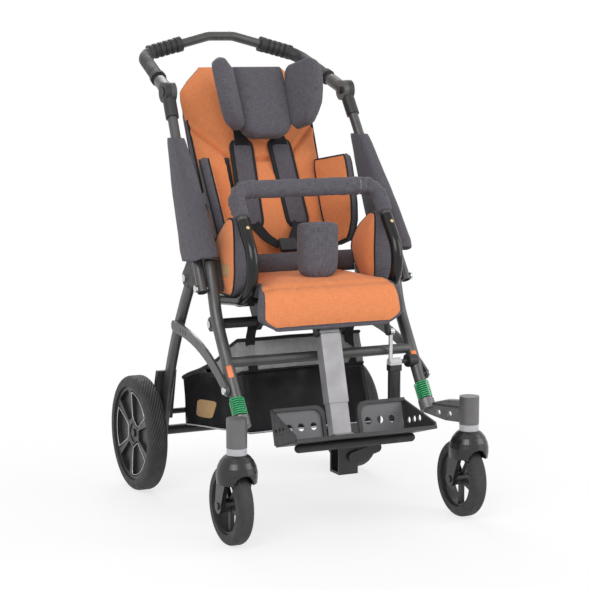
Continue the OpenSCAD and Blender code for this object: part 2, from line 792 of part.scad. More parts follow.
// Caster spring: one unbroken coil of wire round the slider
wire_r = 1.9;
coil_turns = 8;
coil_r = 16.4;
wire_n = 6;
coil_steps = 8;
coil_lift = spring_span - 2 * (wire_r + soft_gap);
coil_pitch = coil_lift / coil_turns;
spring_e1 = [1, 0, 0];
spring_e2 = cross(lean_dir, spring_e1);
function coil_point(a) = knuckle + lean_dir * (wire_r + soft_gap + coil_lift * a / (360 * coil_turns))
    + (spring_e1 * cos(a) + spring_e2 * sin(a)) * coil_r;
function coil_ring(a) = let (
        out = spring_e1 * cos(a) + spring_e2 * sin(a),
        way = unit((spring_e2 * cos(a) - spring_e1 * sin(a)) * coil_r
            + lean_dir * coil_pitch / (2 * PI)),
        side = cross(way, out))
    [for (j = [0 : wire_n - 1]) coil_point(a)
        + (out * cos(360 * j / wire_n) + side * sin(360 * j / wire_n)) * wire_r];
echo(least_gap_between_coils = coil_pitch - 2 * wire_r);
module suspension_spring() color("limegreen") {
    angles = [for (k = [0 : coil_steps * coil_turns]) k * 360 / coil_steps];
    skin([for (a = angles) coil_ring(a)], coil_point(0), coil_point(360 * coil_turns));
}
module suspension_spring_left() suspension_spring();
module suspension_spring_right() mirror([1, 0, 0]) suspension_spring();

// Caster fork: a bell-shaped crown cut round the wheel, with two legs down to the axle
ring_h = 14;
fork_top_z = stem_z - clear;
fork_neck_r = 22;
fork_skirt_r = 46;
fork_bell_h = 64;
fork_gap = 5;
fork_side_gap = 4;
fork_leg_in = caster_tyre_w / 2 + fork_side_gap;
fork_leg_t = 10;
fork_eye_r = 17;
fork_axle_r = 4;
fork_head_h = 3;
caster_axle = [stem.x, stem.y + caster_trail, caster_r];
bell_z = fork_top_z - ring_h;
bell_shares = [[0, 0], [0.34, 0.09], [0.66, 0.24], [0.88, 0.42], [1, 0.62], [1, 0.8], [0.94, 1]];
fork_arch_z = bell_z - fork_bell_h;
module fork_bell() rotate_extrude()
    polygon(concat([[0, bell_z - fork_bell_h], [0, bell_z]],
        [for (s = bell_shares) [mix(fork_neck_r, fork_skirt_r, s[0]), bell_z - fork_bell_h * s[1]]]));
module caster_fork() color("black")
    translate([stem.x, stem.y, 0]) {
        difference() {
            union() {
                translate([0, 0, bell_z])
                    cylinder(r = fork_neck_r + clear, h = ring_h);
                translate([0, 0, bell_z])
                    cylinder(r = stem_pin_r, h = ring_h + stem_pin_len);
                fork_bell();
                for (side = [-1, 1])
                    side_plate(side * (fork_leg_in + fork_leg_t / 2) - fork_leg_t / 2,
                        side * (fork_leg_in + fork_leg_t / 2) + fork_leg_t / 2) {
                        translate([caster_trail, caster_r])
                            circle(r = fork_eye_r);
                        polygon([[-fork_neck_r, bell_z - fork_bell_h / 2],
                                 [fork_skirt_r * 0.7, bell_z - fork_bell_h / 2],
                                 [caster_trail + fork_eye_r * 0.9, caster_r],
                                 [caster_trail - fork_eye_r * 0.9, caster_r]]);
                    }
            }
            pin_x([-fork_leg_in, caster_trail, caster_r], caster_r + fork_gap, 2 * fork_leg_in);
            translate([0, 0, fork_arch_z])
                rotate([90, 0, 0])
                    cylinder(r = fork_leg_in, h = 2 * fork_skirt_r);
        }
        axle_half = fork_leg_in + fork_leg_t;
        pin_x([-axle_half, caster_trail, caster_r], fork_axle_r, 2 * axle_half);
        for (side = [-1, 1])
            pin_x([side * axle_half - (side < 0 ? fork_head_h : 0), caster_trail, caster_r],
                2 * fork_axle_r, fork_head_h);
    }
module caster_fork_left() caster_fork();
module caster_fork_right() mirror([1, 0, 0]) caster_fork();

caster_round = caster_tyre_h / 2;
module caster_tyre() color("black")
    translate(caster_axle)
        rotate([0, 90, 0])
            rotate_extrude()
                tyre_profile(caster_r, caster_tyre_w, caster_tyre_h, caster_round);
module caster_tyre_left() caster_tyre();
module caster_tyre_right() mirror([1, 0, 0]) caster_tyre();

caster_hub_r = 15;
caster_spokes = 5;
caster_spoke_w = 12;
caster_spoke_t = 10;
caster_rim_t = 6;
module caster_rim() color("dimgray")
    translate(caster_axle)
        rotate([0, 90, 0])
            difference() {
                inner = caster_r - caster_tyre_h - caster_rim_t;
                union() {
                    cylinder(r = caster_hub_r, h = 2 * (fork_leg_in - clear), center = true);
                    difference() {
                        cylinder(r = caster_r - caster_tyre_h, h = caster_tyre_w - 2 * caster_rim_t,
                            center = true);
                        cylinder(r = inner, h = caster_tyre_w, center = true);
                    }
                    for (i = [0 : caster_spokes - 1])
                        rotate(i * 360 / caster_spokes)
                            translate([0, -caster_spoke_w / 2, -caster_spoke_t / 2])
                                cube([inner + caster_rim_t / 2, caster_spoke_w, caster_spoke_t]);
                }
                cylinder(r = fork_axle_r + fit, h = caster_r, center = true);
            }
module caster_rim_left() caster_rim();
module caster_rim_right() mirror([1, 0, 0]) caster_rim();

// Push handle: a bent tube between two joint discs
handle_r = handle_d / 2;
grip_r = grip_d / 2;
corner_in = 24;
corner_front = 2;
corner_drop = 47;
crest_half = 33;
corner = [frame_half - corner_in, handle_y - corner_front, handle_z - corner_drop];
crest = [crest_half, handle_y, handle_z];
handle_bend_r = 50;
handle_dir = unit(corner - joint);
handle_half = [joint + handle_dir * disc_r, corner, crest];
handle_path = concat(handle_half, reversed([for (p = handle_half) flip(p)]));
button_r = 9;
button_out = 5;
button_in = 4;
button_travel = 4;
module handle_end() difference() {
    union() {
        pin_x(joint - [disc_t, 0, 0], disc_r, disc_t - clear / 2);
        rod(joint, joint + handle_dir * socket_len, socket_r);
    }
    pin_x(joint - [clear / 2, 0, 0], disc_r + clear, 2 * disc_t);
    pin_x(joint - [disc_t + over, 0, 0], button_r + fit, over + button_in + button_travel + clear);
}
module push_handle() color("dimgray") {
    bent_rod(concat([joint + handle_dir * (disc_r + 2 * clear)], [corner, crest, flip(crest), flip(corner)],
        [flip(joint + handle_dir * (disc_r + 2 * clear))]), handle_bend_r, handle_r);
    both()
        handle_end();
}
// Grips: ribbed sleeves round the handle's corners, with a collar at each end
grip_from_share = 0.34;
grip_to_share = 0.58;
collar_r = 19.5;
collar_len = 15;
rib_r = 19;
rib_count = 5;
rib_len = 7.5;
grip_start = mix(joint, corner, grip_from_share);
grip_end = mix(corner, crest, grip_to_share);
module grip() difference() {
    in_dir = unit(corner - grip_start);
    out_dir = unit(grip_end - corner);
    union() {
        bent_rod([grip_start, corner, grip_end], handle_bend_r, grip_r);
        rod(grip_start, grip_start + in_dir * collar_len, collar_r);
        rod(grip_end - out_dir * collar_len, grip_end, collar_r);
        for (i = [1 : rib_count])
            rod(grip_end - out_dir * (collar_len + i * 2 * rib_len - rib_len),
                grip_end - out_dir * (collar_len + i * 2 * rib_len), rib_r);
    }
    bent_rod([grip_start - in_dir * over, corner, grip_end + out_dir * over], handle_bend_r, handle_r);
    rod(joint, joint + handle_dir * (socket_len + clear), socket_r + clear);
}
module handle_grips() color("black") both() grip();

module handle_button() color("black")
    pin_x(joint - [disc_t + button_out, 0, 0], button_r, button_out + button_in);
module handle_button_left() handle_button();
module handle_button_right() mirror([1, 0, 0]) handle_button();

// Arm tubes: from the seat base forward, up and back to the grab bar
arm_tail = [arm_half, 10, 500];
arm_toe = [arm_half, -208, 522];
arm_knee = [arm_half, -206, 625];
arm_top = [arm_half, -152, 696];
arm_bend_r = 80;
arm_path = [arm_tail, arm_toe, arm_knee, arm_top];
arm_dir = unit(arm_top - arm_knee);
arm_front = cross([1, 0, 0], arm_dir);
snap_back = 26;
snap_r = 4;
snap_point = arm_top - arm_dir * snap_back;
module snap_hole(r, from, to) {
    rod(snap_point + arm_front * from, snap_point + arm_front * to, r);
}
module arm_tube() color("black") difference() {
    bent_tube(arm_path, arm_bend_r, arm_r, tube_wall);
    snap_hole(snap_r + fit, 0, arm_r + over);
}
module arm_tube_left() arm_tube();
module arm_tube_right() mirror([1, 0, 0]) arm_tube();

// Grab bar: a tube that plugs into both arm tubes, slotted for the snap buttons
grab_r = arm_r - tube_wall - fit;
grab_in = 44;
grab_corner = arm_top + arm_dir * ((grab_z - arm_top.z) / arm_dir.z);
grab_bend_r = 36;
grab_foot = arm_top - arm_dir * grab_in;
grab_path = [grab_foot, grab_corner, flip(grab_corner), flip(grab_foot)];
snap_proud = 2.5;
snap_travel = 2.5;
module grab_bar() color("dimgray") difference() {
    bent_tube(grab_path, grab_bend_r, grab_r, tube_wall);
    both()
        rod(grab_foot - arm_dir * over + arm_front * (arm_r - tube_wall),
            snap_point + arm_dir * (snap_r + 2 * clear) + arm_front * (arm_r - tube_wall),
            snap_r + 2 * clear);
}
cover_r = 21;
cover_start = 10;
module grab_bar_cover() color("slategray") difference() {
    start = arm_top + arm_dir * cover_start;
    bent_rod([start, grab_corner, flip(grab_corner), flip(start)], grab_bend_r, cover_r);
    bent_rod(grab_path, grab_bend_r, grab_r);
}
module snap_buttons() color("gold") both()
    snap_hole(snap_r, arm_r - tube_wall + fit, arm_r + snap_proud);

// Seat frame: base, tilt cheeks, legrest hangers, gas spring lug, back hinge ears and arm lugs
base_t = 6;
base_gap = 21;
base_half = arm_half - arm_r - base_gap;
base_front = -200;
base_back = 40;
base_top = base_z + base_t;
cheek_in = 32;
cheek_t = 8;
cheek_x = [base_half - cheek_in, base_half - cheek_in + cheek_t];
cheek_r = 21;
cheek_half = 55;
hanger_t = 6;
hanger_x0 = post_w / 2 + clear;
hanger_r = 12;
hanger_pin_r = 6;
hanger_back = 46;
ear_in = 11;
ear_t = 7;
ear_x = [base_half - ear_in, base_half - ear_in + ear_t];
ear_r = 13;
back_pin_r = 6;
ear_out = 10;
back_pin_end = base_half + ear_out;
lug_y = [-112, -30];
lug_half = 14;
lug_h = 14;
pommel_y = -162;
pommel_stem_r = 6;
pommel_boss_r = 11;
pommel_boss_h = 20;
gas_lug_t = 6;
gas_lug_x0 = gas_rod_x - gas_rod_r - clear - gas_lug_t;
lighten_share = 0.4;
lighten = [base_half * lighten_share, 26];
lighten_pitch = 120;
module seat_frame() color("dimgray") difference() {
    union() {
        translate([-base_half, base_front, base_z])
            cube([2 * base_half, base_back - base_front, base_t]);
        translate([0, pommel_y, base_z - pommel_boss_h])
            cylinder(r = pommel_boss_r, h = pommel_boss_h + base_t);
        both() {
            side_plate(cheek_x[0], cheek_x[1]) {
                translate([seat_bar_y, seat_bar_z])
                    circle(r = cheek_r);
                polygon([[seat_bar_y - cheek_r * 0.9, seat_bar_z], [seat_bar_y + cheek_r * 0.9, seat_bar_z],
                         [seat_bar_y + cheek_half, base_z + base_t / 2],
                         [seat_bar_y - cheek_half, base_z + base_t / 2]]);
            }
            side_plate(hanger_x0, hanger_x0 + hanger_t) {
                translate([post_y, post_z])
                    circle(r = hanger_r);
                polygon([[post_y - hanger_r * 0.9, post_z], [post_y + hanger_r * 0.9, post_z],
                         [base_front + hanger_back, base_z + base_t / 2],
                         [base_front, base_z + base_t / 2]]);
            }
            side_plate(ear_x[0], ear_x[1]) {
                translate([back_y, back_z])
                    circle(r = ear_r);
                polygon([[back_y - ear_r * 0.9, back_z], [back_y + ear_r * 0.9, back_z],
                         [base_back, base_z], [base_back - 2 * ear_r, base_z]]);
            }
            pin_x([ear_x[0], back_y, back_z], back_pin_r, back_pin_end - ear_x[0]);
            for (y = lug_y)
                translate([base_half - base_t, y - lug_half, base_top - lug_h])
                    cube([arm_half - base_half + base_t, 2 * lug_half, lug_h]);
        }
        pin_x([-hanger_x0 - hanger_t, post_y, post_z], hanger_pin_r, 2 * (hanger_x0 + hanger_t));
        translate([base_half - base_t, base_front, base_z])
            cube([gas_lug_x0 + gas_lug_t - base_half + base_t, 2 * gas_r, base_t]);
        side_plate(gas_lug_x0, gas_lug_x0 + gas_lug_t) {
            translate([gas_y, gas_eye_z])
                circle(r = gas_eye_r);
            polygon([[gas_y - gas_eye_r * 0.9, gas_eye_z], [gas_y + gas_eye_r * 0.9, gas_eye_z],
                     [base_front + 2 * gas_r, base_z + base_t / 2], [base_front, base_z + base_t / 2]]);
        }
        pin_x([gas_lug_x0, gas_y, gas_eye_z], bolt_r, gas_lug_t + 2 * clear + 2 * gas_rod_r);
    }
    pin_x([-frame_half, seat_bar_y, seat_bar_z], crossbar_r + fit, 2 * frame_half);
    both()
        bent_rod(arm_path, arm_bend_r, arm_r);
    translate([0, pommel_y, base_z - pommel_boss_h - over])
        cylinder(r = pommel_stem_r + fit, h = pommel_boss_h + base_t + 2 * over);
    for (x = [-1, 1])
        for (y = [-1, 0])
            translate([x * base_half / 2 - lighten.x / 2, y * lighten_pitch + base_back / 2 - lighten.y,
                    base_z - over])
                cube([lighten.x, lighten.y * 2, base_t + 2 * over]);
}

// Seat pad: a crowned cushion that turns down into a flap over the front edge
seat_mid = base_top + soft_gap + seat_t / 2;
flap_front = 236;
flap_foot_z = 456;
seat_back = 8;
// Along the pad: back or front share of its reach, height share, width share, thickness share
hip_t = 50;
hip_inset = 8;
hip_gap = 1.8;
hip_x = arm_half - hip_inset;
hip_share = (hip_x - hip_t / 2 - hip_gap) / seat_half;
seat_shares = [[0, 0, 0.8, 0.55], [0.04, 0, 0.87, 0.85], [0.2, 0, hip_share, 1], [0.64, 0, hip_share, 1],
    [0.74, 0, 0.99, 1], [0.8, 0, 1, 1],
    [0.88, -0.02, 1.02, 0.92], [0.95, -0.2, 1.06, 0.7], [0.985, -0.45, 1.08, 0.56], [1, -0.75, 1.08, 0.54],
    [1, -0.9, 0.98, 0.48], [1, -1, 0.82, 0.32]];
function seat_point(s) = [0, mix(seat_back, -flap_front, s[0]),
    seat_mid + (seat_mid - flap_foot_z) * s[1]];
function seat_way(i) = unit(seat_point(seat_shares[min(i + 1, len(seat_shares) - 1)])
    - seat_point(seat_shares[max(i - 1, 0)]));
function seat_ring(i) = let (s = seat_shares[i], c = seat_point(s), up = cross(seat_way(i), [1, 0, 0]))
    [for (q = oval(seat_half * s[2], seat_t / 2 * s[3], 0.62)) c + [q.x, 0, 0] + up * q.y];
module seat_pad() color("orange") difference() {
    skin([for (i = [0 : len(seat_shares) - 1]) seat_ring(i)], seat_point(seat_shares[0]),
        seat_point(seat_shares[len(seat_shares) - 1]));
    translate([0, pommel_y, base_z])
        cylinder(r = pommel_stem_r + clear, h = 2 * seat_t);
}

// Hip pads stand on the arm tubes inside the arms
hip_size = [126, 172, hip_t];
hip_mid_y = -78;
hip_sink = 1.1;
hip_foot = arm_tail.z + (arm_toe.z - arm_tail.z) * (arm_tail.y - hip_mid_y) / (arm_tail.y - arm_toe.y)
    + arm_r + soft_gap;
module hip_pad()
    translate([hip_x, hip_mid_y, hip_foot + hip_size.y / 2 - hip_sink])
        rotate([90, 0, 90])
            pillow(oval(hip_size.x / 2, hip_size.y / 2, 0.8), hip_size.z);
module hip_pads() color("orange") both() hip_pad();

belt_gap = 20;
belt_half = [hip_x - hip_t / 2 - belt_gap, 22];
belt_t = 14;
belt_y = -36;
module lap_belt() color("slategray")
    translate([0, belt_y, base_top + 2 * soft_gap + seat_t + belt_half.y])
        rotate([90, 0, 0])
            pillow(oval(belt_half.x, belt_half.y, 0.55), belt_t);

// Pommel: a padded block on a stem into the seat base
pommel_half = [48, 27];
pommel_h = 130;
pommel_pad_y = -162;
pommel_gap = 1.2;
pommel_foot_z = base_top + seat_t + pommel_gap;
pommel_shares = [[0, 0.62], [0.08, 0.86], [0.25, 0.97], [0.6, 1], [0.9, 0.96], [1, 0.8]];
module pommel() color("slategray") {
    skin([for (s = pommel_shares) [for (q = oval(pommel_half.x * s[1], pommel_half.y * s[1], 0.7))
            [q.x, pommel_pad_y + q.y, pommel_foot_z + pommel_h * s[0]]]],
        [0, pommel_pad_y, pommel_foot_z], [0, pommel_pad_y, pommel_foot_z + pommel_h]);
    translate([0, pommel_y, base_z - 2 * pommel_boss_h])
        cylinder(r = pommel_stem_r, h = pommel_foot_z - base_z + 2 * pommel_boss_h + pommel_half.y / 2);
}

// Back unit, drawn upright about its hinge
module back_frame() {
    translate([0, back_y, back_z])
        rotate([-recline, 0, 0])
            children();
}
back_face = -17;
back_foot = 18;
back_shares = [[0, 0], [0.45, 0], [0.8, 0.01], [0.845, 0.08], [0.86, 0.13], [0.94, 0.18], [0.97, 0.4],
    [1, 0.62], [1, 0.8], [0.96, 0.88], [0.84, 0.96], [0.7, 1], [0.35, 1]];
back_side = [for (s = back_shares) [back_half * s[0], back_h * (s[1] - 0.5)]];
back_outline = concat([for (i = [1 : len(back_side) - 1]) back_side[i]],
    reversed([for (i = [1 : len(back_side) - 1]) [-back_side[i].x, back_side[i].y]]));
shell_t = 10;
shell_share = 0.95;
slot_half = 17;
slot_z = [400, 505];
lateral_inset = 11;
lateral_mid = [back_half - lateral_inset, -66, 191];
lateral_size = [86, 176, 26];
lateral_flare = 23.6;
bracket_t = 4;
bracket_h = 30;
bracket_end = 62;
bracket_sink = 1.6;
bracket_x = lateral_mid.x + lateral_size.z / 2 / cos(lateral_flare) - bracket_sink;
shell_y = back_face + back_t + soft_gap;
module upright(z) {
    translate([0, 0, z])
        rotate([90, 0, 0])
            children();
}
module stem_slot(y0, y1) {
    translate([-slot_half, y0, slot_z[0]])
        cube([2 * slot_half, y1 - y0, slot_z[1] - slot_z[0]]);
}
module back_pad() color("orange") back_frame() difference() {
    translate([0, back_face + back_t / 2, back_foot + back_h / 2])
        rotate([90, 0, 0])
            pillow(back_outline, back_t);
    stem_slot(back_face - back_t, back_face + 2 * back_t);
}
module back_shell() color("dimgray") back_frame() difference() {
    union() {
        translate([0, shell_y + shell_t, back_foot + back_h / 2])
            rotate([90, 0, 0])
                linear_extrude(shell_t)
                    polygon([for (q = back_outline) q * shell_share]);
        both() {
            side_plate(ear_x[1] + clear, back_pin_end - clear) {
                circle(r = ear_r);
                polygon([[-ear_r * 0.9, 0], [shell_y + shell_t, -ear_r * 0.5],
                         [shell_y + shell_t, back_foot + 4 * ear_r], [shell_y, back_foot + 4 * ear_r],
                         [0, ear_r * 0.9]]);
            }
            translate([back_half * 0.6, shell_y, back_foot + 2 * ear_r])
                cube([back_pin_end - clear - back_half * 0.6, shell_t, 2 * ear_r]);
            translate([bracket_x, -bracket_end, lateral_mid.z - bracket_h / 2])
                cube([bracket_t, bracket_end + shell_y + shell_t, bracket_h]);
            translate([back_half * 0.8, shell_y + shell_t - bracket_t, lateral_mid.z - bracket_h / 2])
                cube([bracket_x + bracket_t - back_half * 0.8, bracket_t, bracket_h]);
        }
    }
    pin_x([-2 * back_half, 0, 0], back_pin_r + fit, 4 * back_half);
    stem_slot(shell_y - over, shell_y + shell_t + over);
}
module lateral_pad()
    translate(lateral_mid)
        rotate([0, 0, lateral_flare])
            rotate([90, 0, 90])
                pillow(oval(lateral_size.x / 2, lateral_size.y / 2, 0.5), lateral_size.z);
module lateral_pads() color("orange") back_frame() both() lateral_pad();

harness_x = 50;
harness_half = [24, 100];
harness_t = 12;
harness_z = 235;
harness_sink = 1;
module shoulder_harness() color("slategray") back_frame() both()
    translate([harness_x, back_face - soft_gap - harness_t / 2 + harness_sink, harness_z])
        rotate([90, 0, 0])
            pillow(oval(harness_half.x, harness_half.y, 0.4), harness_t);

head_mid = [0, -82, 419];
head_size = [136, 176, 48];
wing_mid = [100.3, -120, 424];
wing_size = [84, 160, 40];
wing_flare = 37;
stem_h_half = 10;
stem_half = 13;
stem_plate = [40, 6, 70];
module headrest() color("slategray") back_frame() {
    translate(head_mid)
        rotate([90, 0, 0])
            pillow(oval(head_size.x / 2, head_size.y / 2, 0.55), head_size.z);
    both()
        translate(wing_mid)
            rotate([0, 0, wing_flare])
                rotate([90, 0, 90])
                    pillow(oval(wing_size.x / 2, wing_size.y / 2, 0.72), wing_size.z);
}
module headrest_stem() color("black") back_frame() {
    from = head_mid.y + head_size.z / 2 + soft_gap;
    to = shell_y + shell_t + clear;
    translate([-stem_half, from, head_mid.z - stem_h_half])
        cube([2 * stem_half, to - from + stem_plate.y / 2, 2 * stem_h_half]);
    translate([-stem_plate.x, to, head_mid.z - stem_plate.z / 2])
        cube([2 * stem_plate.x, stem_plate.y, stem_plate.z]);
}

// Legrest, drawn straight down from its hinge
module post_frame() {
    translate([0, post_y, post_z])
        rotate([-post_lean, 0, 0])
            children();
}
post_len = 166;
post_wall = 2;
slide_fit = 0.08;
post_eye_r = 12;
foot_len = (post_z - floor_z) / cos(post_lean);
inner_w = post_w - 2 * (post_wall + slide_fit);
inner_d = post_d - 2 * (post_wall + slide_fit);
post_gap = 26;
module box_at(w, d, z0, z1) {
    translate([-w / 2, -d / 2, z0])
        cube([w, d, z1 - z0]);
}
module legrest_post() color("silver") post_frame() difference() {
    union() {
        box_at(post_w, post_d, -post_len, -hanger_pin_r);
        pin_x([-post_w / 2, 0, 0], post_eye_r, post_w);
    }
    box_at(post_w - 2 * post_wall, post_d - 2 * post_wall, -post_len - over, -post_gap);
    pin_x([-post_w, 0, 0], hanger_pin_r + fit, 2 * post_w);
}
// Footplate hinge in front of the post's foot
hinge_y = -300;
hinge_r = 8;
hinge_pin_r = 4;
knuckle_half = 23.4;
foot_lap = 4;
tube_foot = foot_len + foot_lap;
module footrest_tube() color("silver") difference() {
    union() {
        post_frame()
            box_at(inner_w, inner_d, -tube_foot, -post_gap - 2 * over);
        side_plate(-knuckle_half, knuckle_half)
            round_bar([hinge_y, floor_z], [post_y - (post_z - floor_z) * tan(post_lean), floor_z], hinge_r);
    }
    pin_x([-post_w, hinge_y, floor_z], hinge_pin_r + fit, 2 * post_w);
}

// Footplate: a tray square to the post, with a notch for it, heel guards and pointed side guards
module tray_frame() {
    translate([0, hinge_y, floor_z])
        rotate([-post_lean, 0, 0])
            children();
}
floor_t = 8;
floor_back = 10;
floor_front = -121;
floor_back_half = 168;
floor_front_half = 176;
notch_half = 30;
guard_t = 5;
heel_in = 42;
heel_h = 78;
heel_round = 22;
heel_rim = 8;
heel_hole_r = 9;
heel_hole_shares = [0.22, 0.47, 0.71];
heel_hole_rise = 32;
guard_tip = 7;
side_slot_r = 8;
side_slot_shares = [0.14, 0.32, 0.49];
side_slot_rise = 24;
guard_root = [floor_back_half, floor_back, 0];
guard_base = [floor_front_half, floor_front, 0];
// A flat panel through corners a and b with c above them
module panel(a, b, c, t) {
    ex = unit(b - a);
    ez = unit(cross(ex, c - a));
    ey = cross(ez, ex);
    multmatrix([[ex.x, ey.x, ez.x, a.x], [ex.y, ey.y, ez.y, a.y], [ex.z, ey.z, ez.z, a.z]])
        translate([0, 0, -t / 2])
            linear_extrude(t)
                children();
}
module heel_outline() {
    translate([heel_in, -floor_t / 2])
        square([floor_back_half - heel_in, heel_h + floor_t / 2 - heel_round]);
    translate([heel_in + heel_round, 0])
        square([floor_back_half - heel_in - heel_round, heel_h]);
    translate([heel_in + heel_round, heel_h - heel_round])
        circle(r = heel_round);
}
module heel_guard() difference() {
    translate([0, floor_back, 0])
        rotate([90, 0, 0]) {
            linear_extrude(guard_t)
                heel_outline();
            linear_extrude(2 * guard_t)
                difference() {
                    heel_outline();
                    translate([heel_rim, -heel_rim])
                        heel_outline();
                }
        }
    for (s = heel_hole_shares)
        translate([mix(heel_in, floor_back_half, s), floor_back + over, heel_hole_rise])
            rotate([90, 0, 0])
                cylinder(r = heel_hole_r, h = guard_t + 2 * over);
}
module side_guard() {
    reach = norm(guard_base - guard_root);
    panel(guard_root, guard_base, guard_root + [0, 0, heel_h], guard_t)
        difference() {
            polygon([[-guard_t / 2, -floor_t / 2], [reach - guard_t, -floor_t / 2],
                     [reach - guard_t, guard_tip], [-guard_t / 2, heel_h]]);
            for (s = side_slot_shares)
                translate([reach * s, side_slot_rise])
                    circle(r = side_slot_r);
        }
}
module footplate() color("black") tray_frame() difference() {
    union() {
        translate([0, 0, -floor_t])
            linear_extrude(floor_t)
                polygon([[-floor_back_half, floor_back], [floor_back_half, floor_back],
                         [floor_front_half, floor_front], [-floor_front_half, floor_front]]);
        both() {
            heel_guard();
            side_guard();
            pin_x([knuckle_half + clear, 0, 0], hinge_r, notch_half - knuckle_half);
        }
        pin_x([-notch_half, 0, 0], hinge_pin_r, 2 * notch_half);
    }
    translate([-notch_half + clear, -hinge_r - clear, -2 * floor_t])
        difference() {
            cube([2 * (notch_half - clear), floor_back + 2 * hinge_r, 4 * floor_t]);
            translate([-over, hinge_r + clear, 2 * floor_t])
                rotate([0, 90, 0])
                    cylinder(r = hinge_pin_r, h = 3 * notch_half);
            for (x = [0, notch_half + knuckle_half])
                translate([x - clear * 0.5, hinge_r + clear, 2 * floor_t])
                    rotate([0, 90, 0])
                        cylinder(r = hinge_r, h = notch_half - knuckle_half - clear);
        }
}
bumper_r = 10;
bumper_half = 142;
bumper_y = -53;
module bumper_rod() color("black") tray_frame() {
    z = -floor_t - bumper_r - soft_gap;
    pin_x([-bumper_half, bumper_y, z], bumper_r, 2 * bumper_half);
    for (side = [-1, 1])
        translate([side * bumper_half, bumper_y, z])
            sphere(r = bumper_r - seam);
}

// Clamp under the footrest: a bracket on the tube's foot with a swinging lever
clamp_half = 24;
clamp_y = [-322, -276];
clamp_h = 74;
clamp_t = 6;
lever_r = 11;
lever_len = 62;
lever_t = 7;
lever_rise = 16;
lever_pin_r = 4;
clamp_top = floor_z - hinge_r - soft_gap;
lever_at = [8, clamp_top - clamp_h * 0.45];
module clamp_bracket() color("black") difference() {
    translate([-clamp_half, clamp_y[0], clamp_top - clamp_h])
        cube([2 * clamp_half, clamp_y[1] - clamp_y[0], clamp_h]);
    translate([-clamp_half - over, clamp_y[0] + clamp_t, clamp_top - clamp_h + clamp_t])
        cube([2 * clamp_half + 2 * over, clamp_y[1] - clamp_y[0] - 2 * clamp_t, clamp_h - 3 * clamp_t]);
    translate([lever_at.x, clamp_y[0] - over, lever_at.y])
        rotate([-90, 0, 0])
            cylinder(r = lever_pin_r + fit, h = clamp_t + 2 * over);
}
module clamp_lever() color("black") {
    translate([0, clamp_y[0] - clear, 0])
        rotate([90, 0, 0])
            linear_extrude(lever_t)
                round_bar(lever_at, lever_at + [lever_len, lever_rise], lever_r);
    translate([lever_at.x, clamp_y[0] - clear - lever_t / 2, lever_at.y])
        rotate([-90, 0, 0])
            cylinder(r = lever_pin_r, h = clamp_t + lever_t / 2);
}

front_tube_right();
front_tube_left();
front_crossbar();
seat_crossbar();
hinge_housings();
upper_tube_right();
upper_tube_left();
tube_covers();
handle_joints();
frame_bolts();
gas_bracket();
basket();
rear_leg_right();
rear_leg_left();
rear_axle_tube();
brake_housings();
fold_links();
rear_tyre_right();
rear_rim_right();
rear_tyre_left();
rear_rim_left();
brake_pedal();
caster_arm_right();
caster_arm_left();
suspension_spring_right();
suspension_spring_left();
caster_fork_right();
caster_fork_left();
caster_tyre_right();
caster_rim_right();
caster_tyre_left();
caster_rim_left();
push_handle();
handle_grips();
handle_button_right();
handle_button_left();
seat_frame();
seat_pad();
hip_pads();
arm_tube_right();
arm_tube_left();
lap_belt();
back_shell();
back_pad();
lateral_pads();
shoulder_harness();
headrest();
headrest_stem();
grab_bar();
grab_bar_cover();
snap_buttons();
pommel();
legrest_post();
footrest_tube();
footplate();
bumper_rod();
clamp_bracket();
clamp_lever();
gas_cylinder();
gas_rod();
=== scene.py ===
# %% [markdown]
# # A special needs buggy
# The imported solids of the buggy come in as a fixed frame. This lesson dresses them: each hard part
# gets a finish, and each soft part is sewn anew as a padded or hanging piece in the same place.

# %% Load the frame
import math
import bmesh
import bpy
from mathutils import Matrix, Vector, noise
from mathutils.bvhtree import BVHTree


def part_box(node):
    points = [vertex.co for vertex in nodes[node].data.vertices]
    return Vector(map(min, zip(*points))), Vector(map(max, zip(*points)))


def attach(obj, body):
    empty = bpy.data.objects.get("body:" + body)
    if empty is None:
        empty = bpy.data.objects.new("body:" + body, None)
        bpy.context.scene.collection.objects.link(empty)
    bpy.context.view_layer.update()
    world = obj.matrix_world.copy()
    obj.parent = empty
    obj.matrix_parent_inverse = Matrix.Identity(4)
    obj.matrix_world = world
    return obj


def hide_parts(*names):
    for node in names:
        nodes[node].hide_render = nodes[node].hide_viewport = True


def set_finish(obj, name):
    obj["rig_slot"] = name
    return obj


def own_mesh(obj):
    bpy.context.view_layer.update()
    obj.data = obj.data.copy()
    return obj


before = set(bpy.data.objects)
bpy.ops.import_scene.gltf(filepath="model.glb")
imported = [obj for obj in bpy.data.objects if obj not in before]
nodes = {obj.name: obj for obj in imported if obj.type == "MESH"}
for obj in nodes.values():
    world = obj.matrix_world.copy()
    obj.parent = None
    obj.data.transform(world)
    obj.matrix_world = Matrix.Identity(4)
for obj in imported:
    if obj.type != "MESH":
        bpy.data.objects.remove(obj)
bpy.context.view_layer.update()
scene = bpy.context.scene

# %% [markdown]
# ## Camera
# The view is a long lens from the front right of the child, a little above the seat. The place and
# the lens were worked out from the wheels and tubes, so they are written as numbers here.

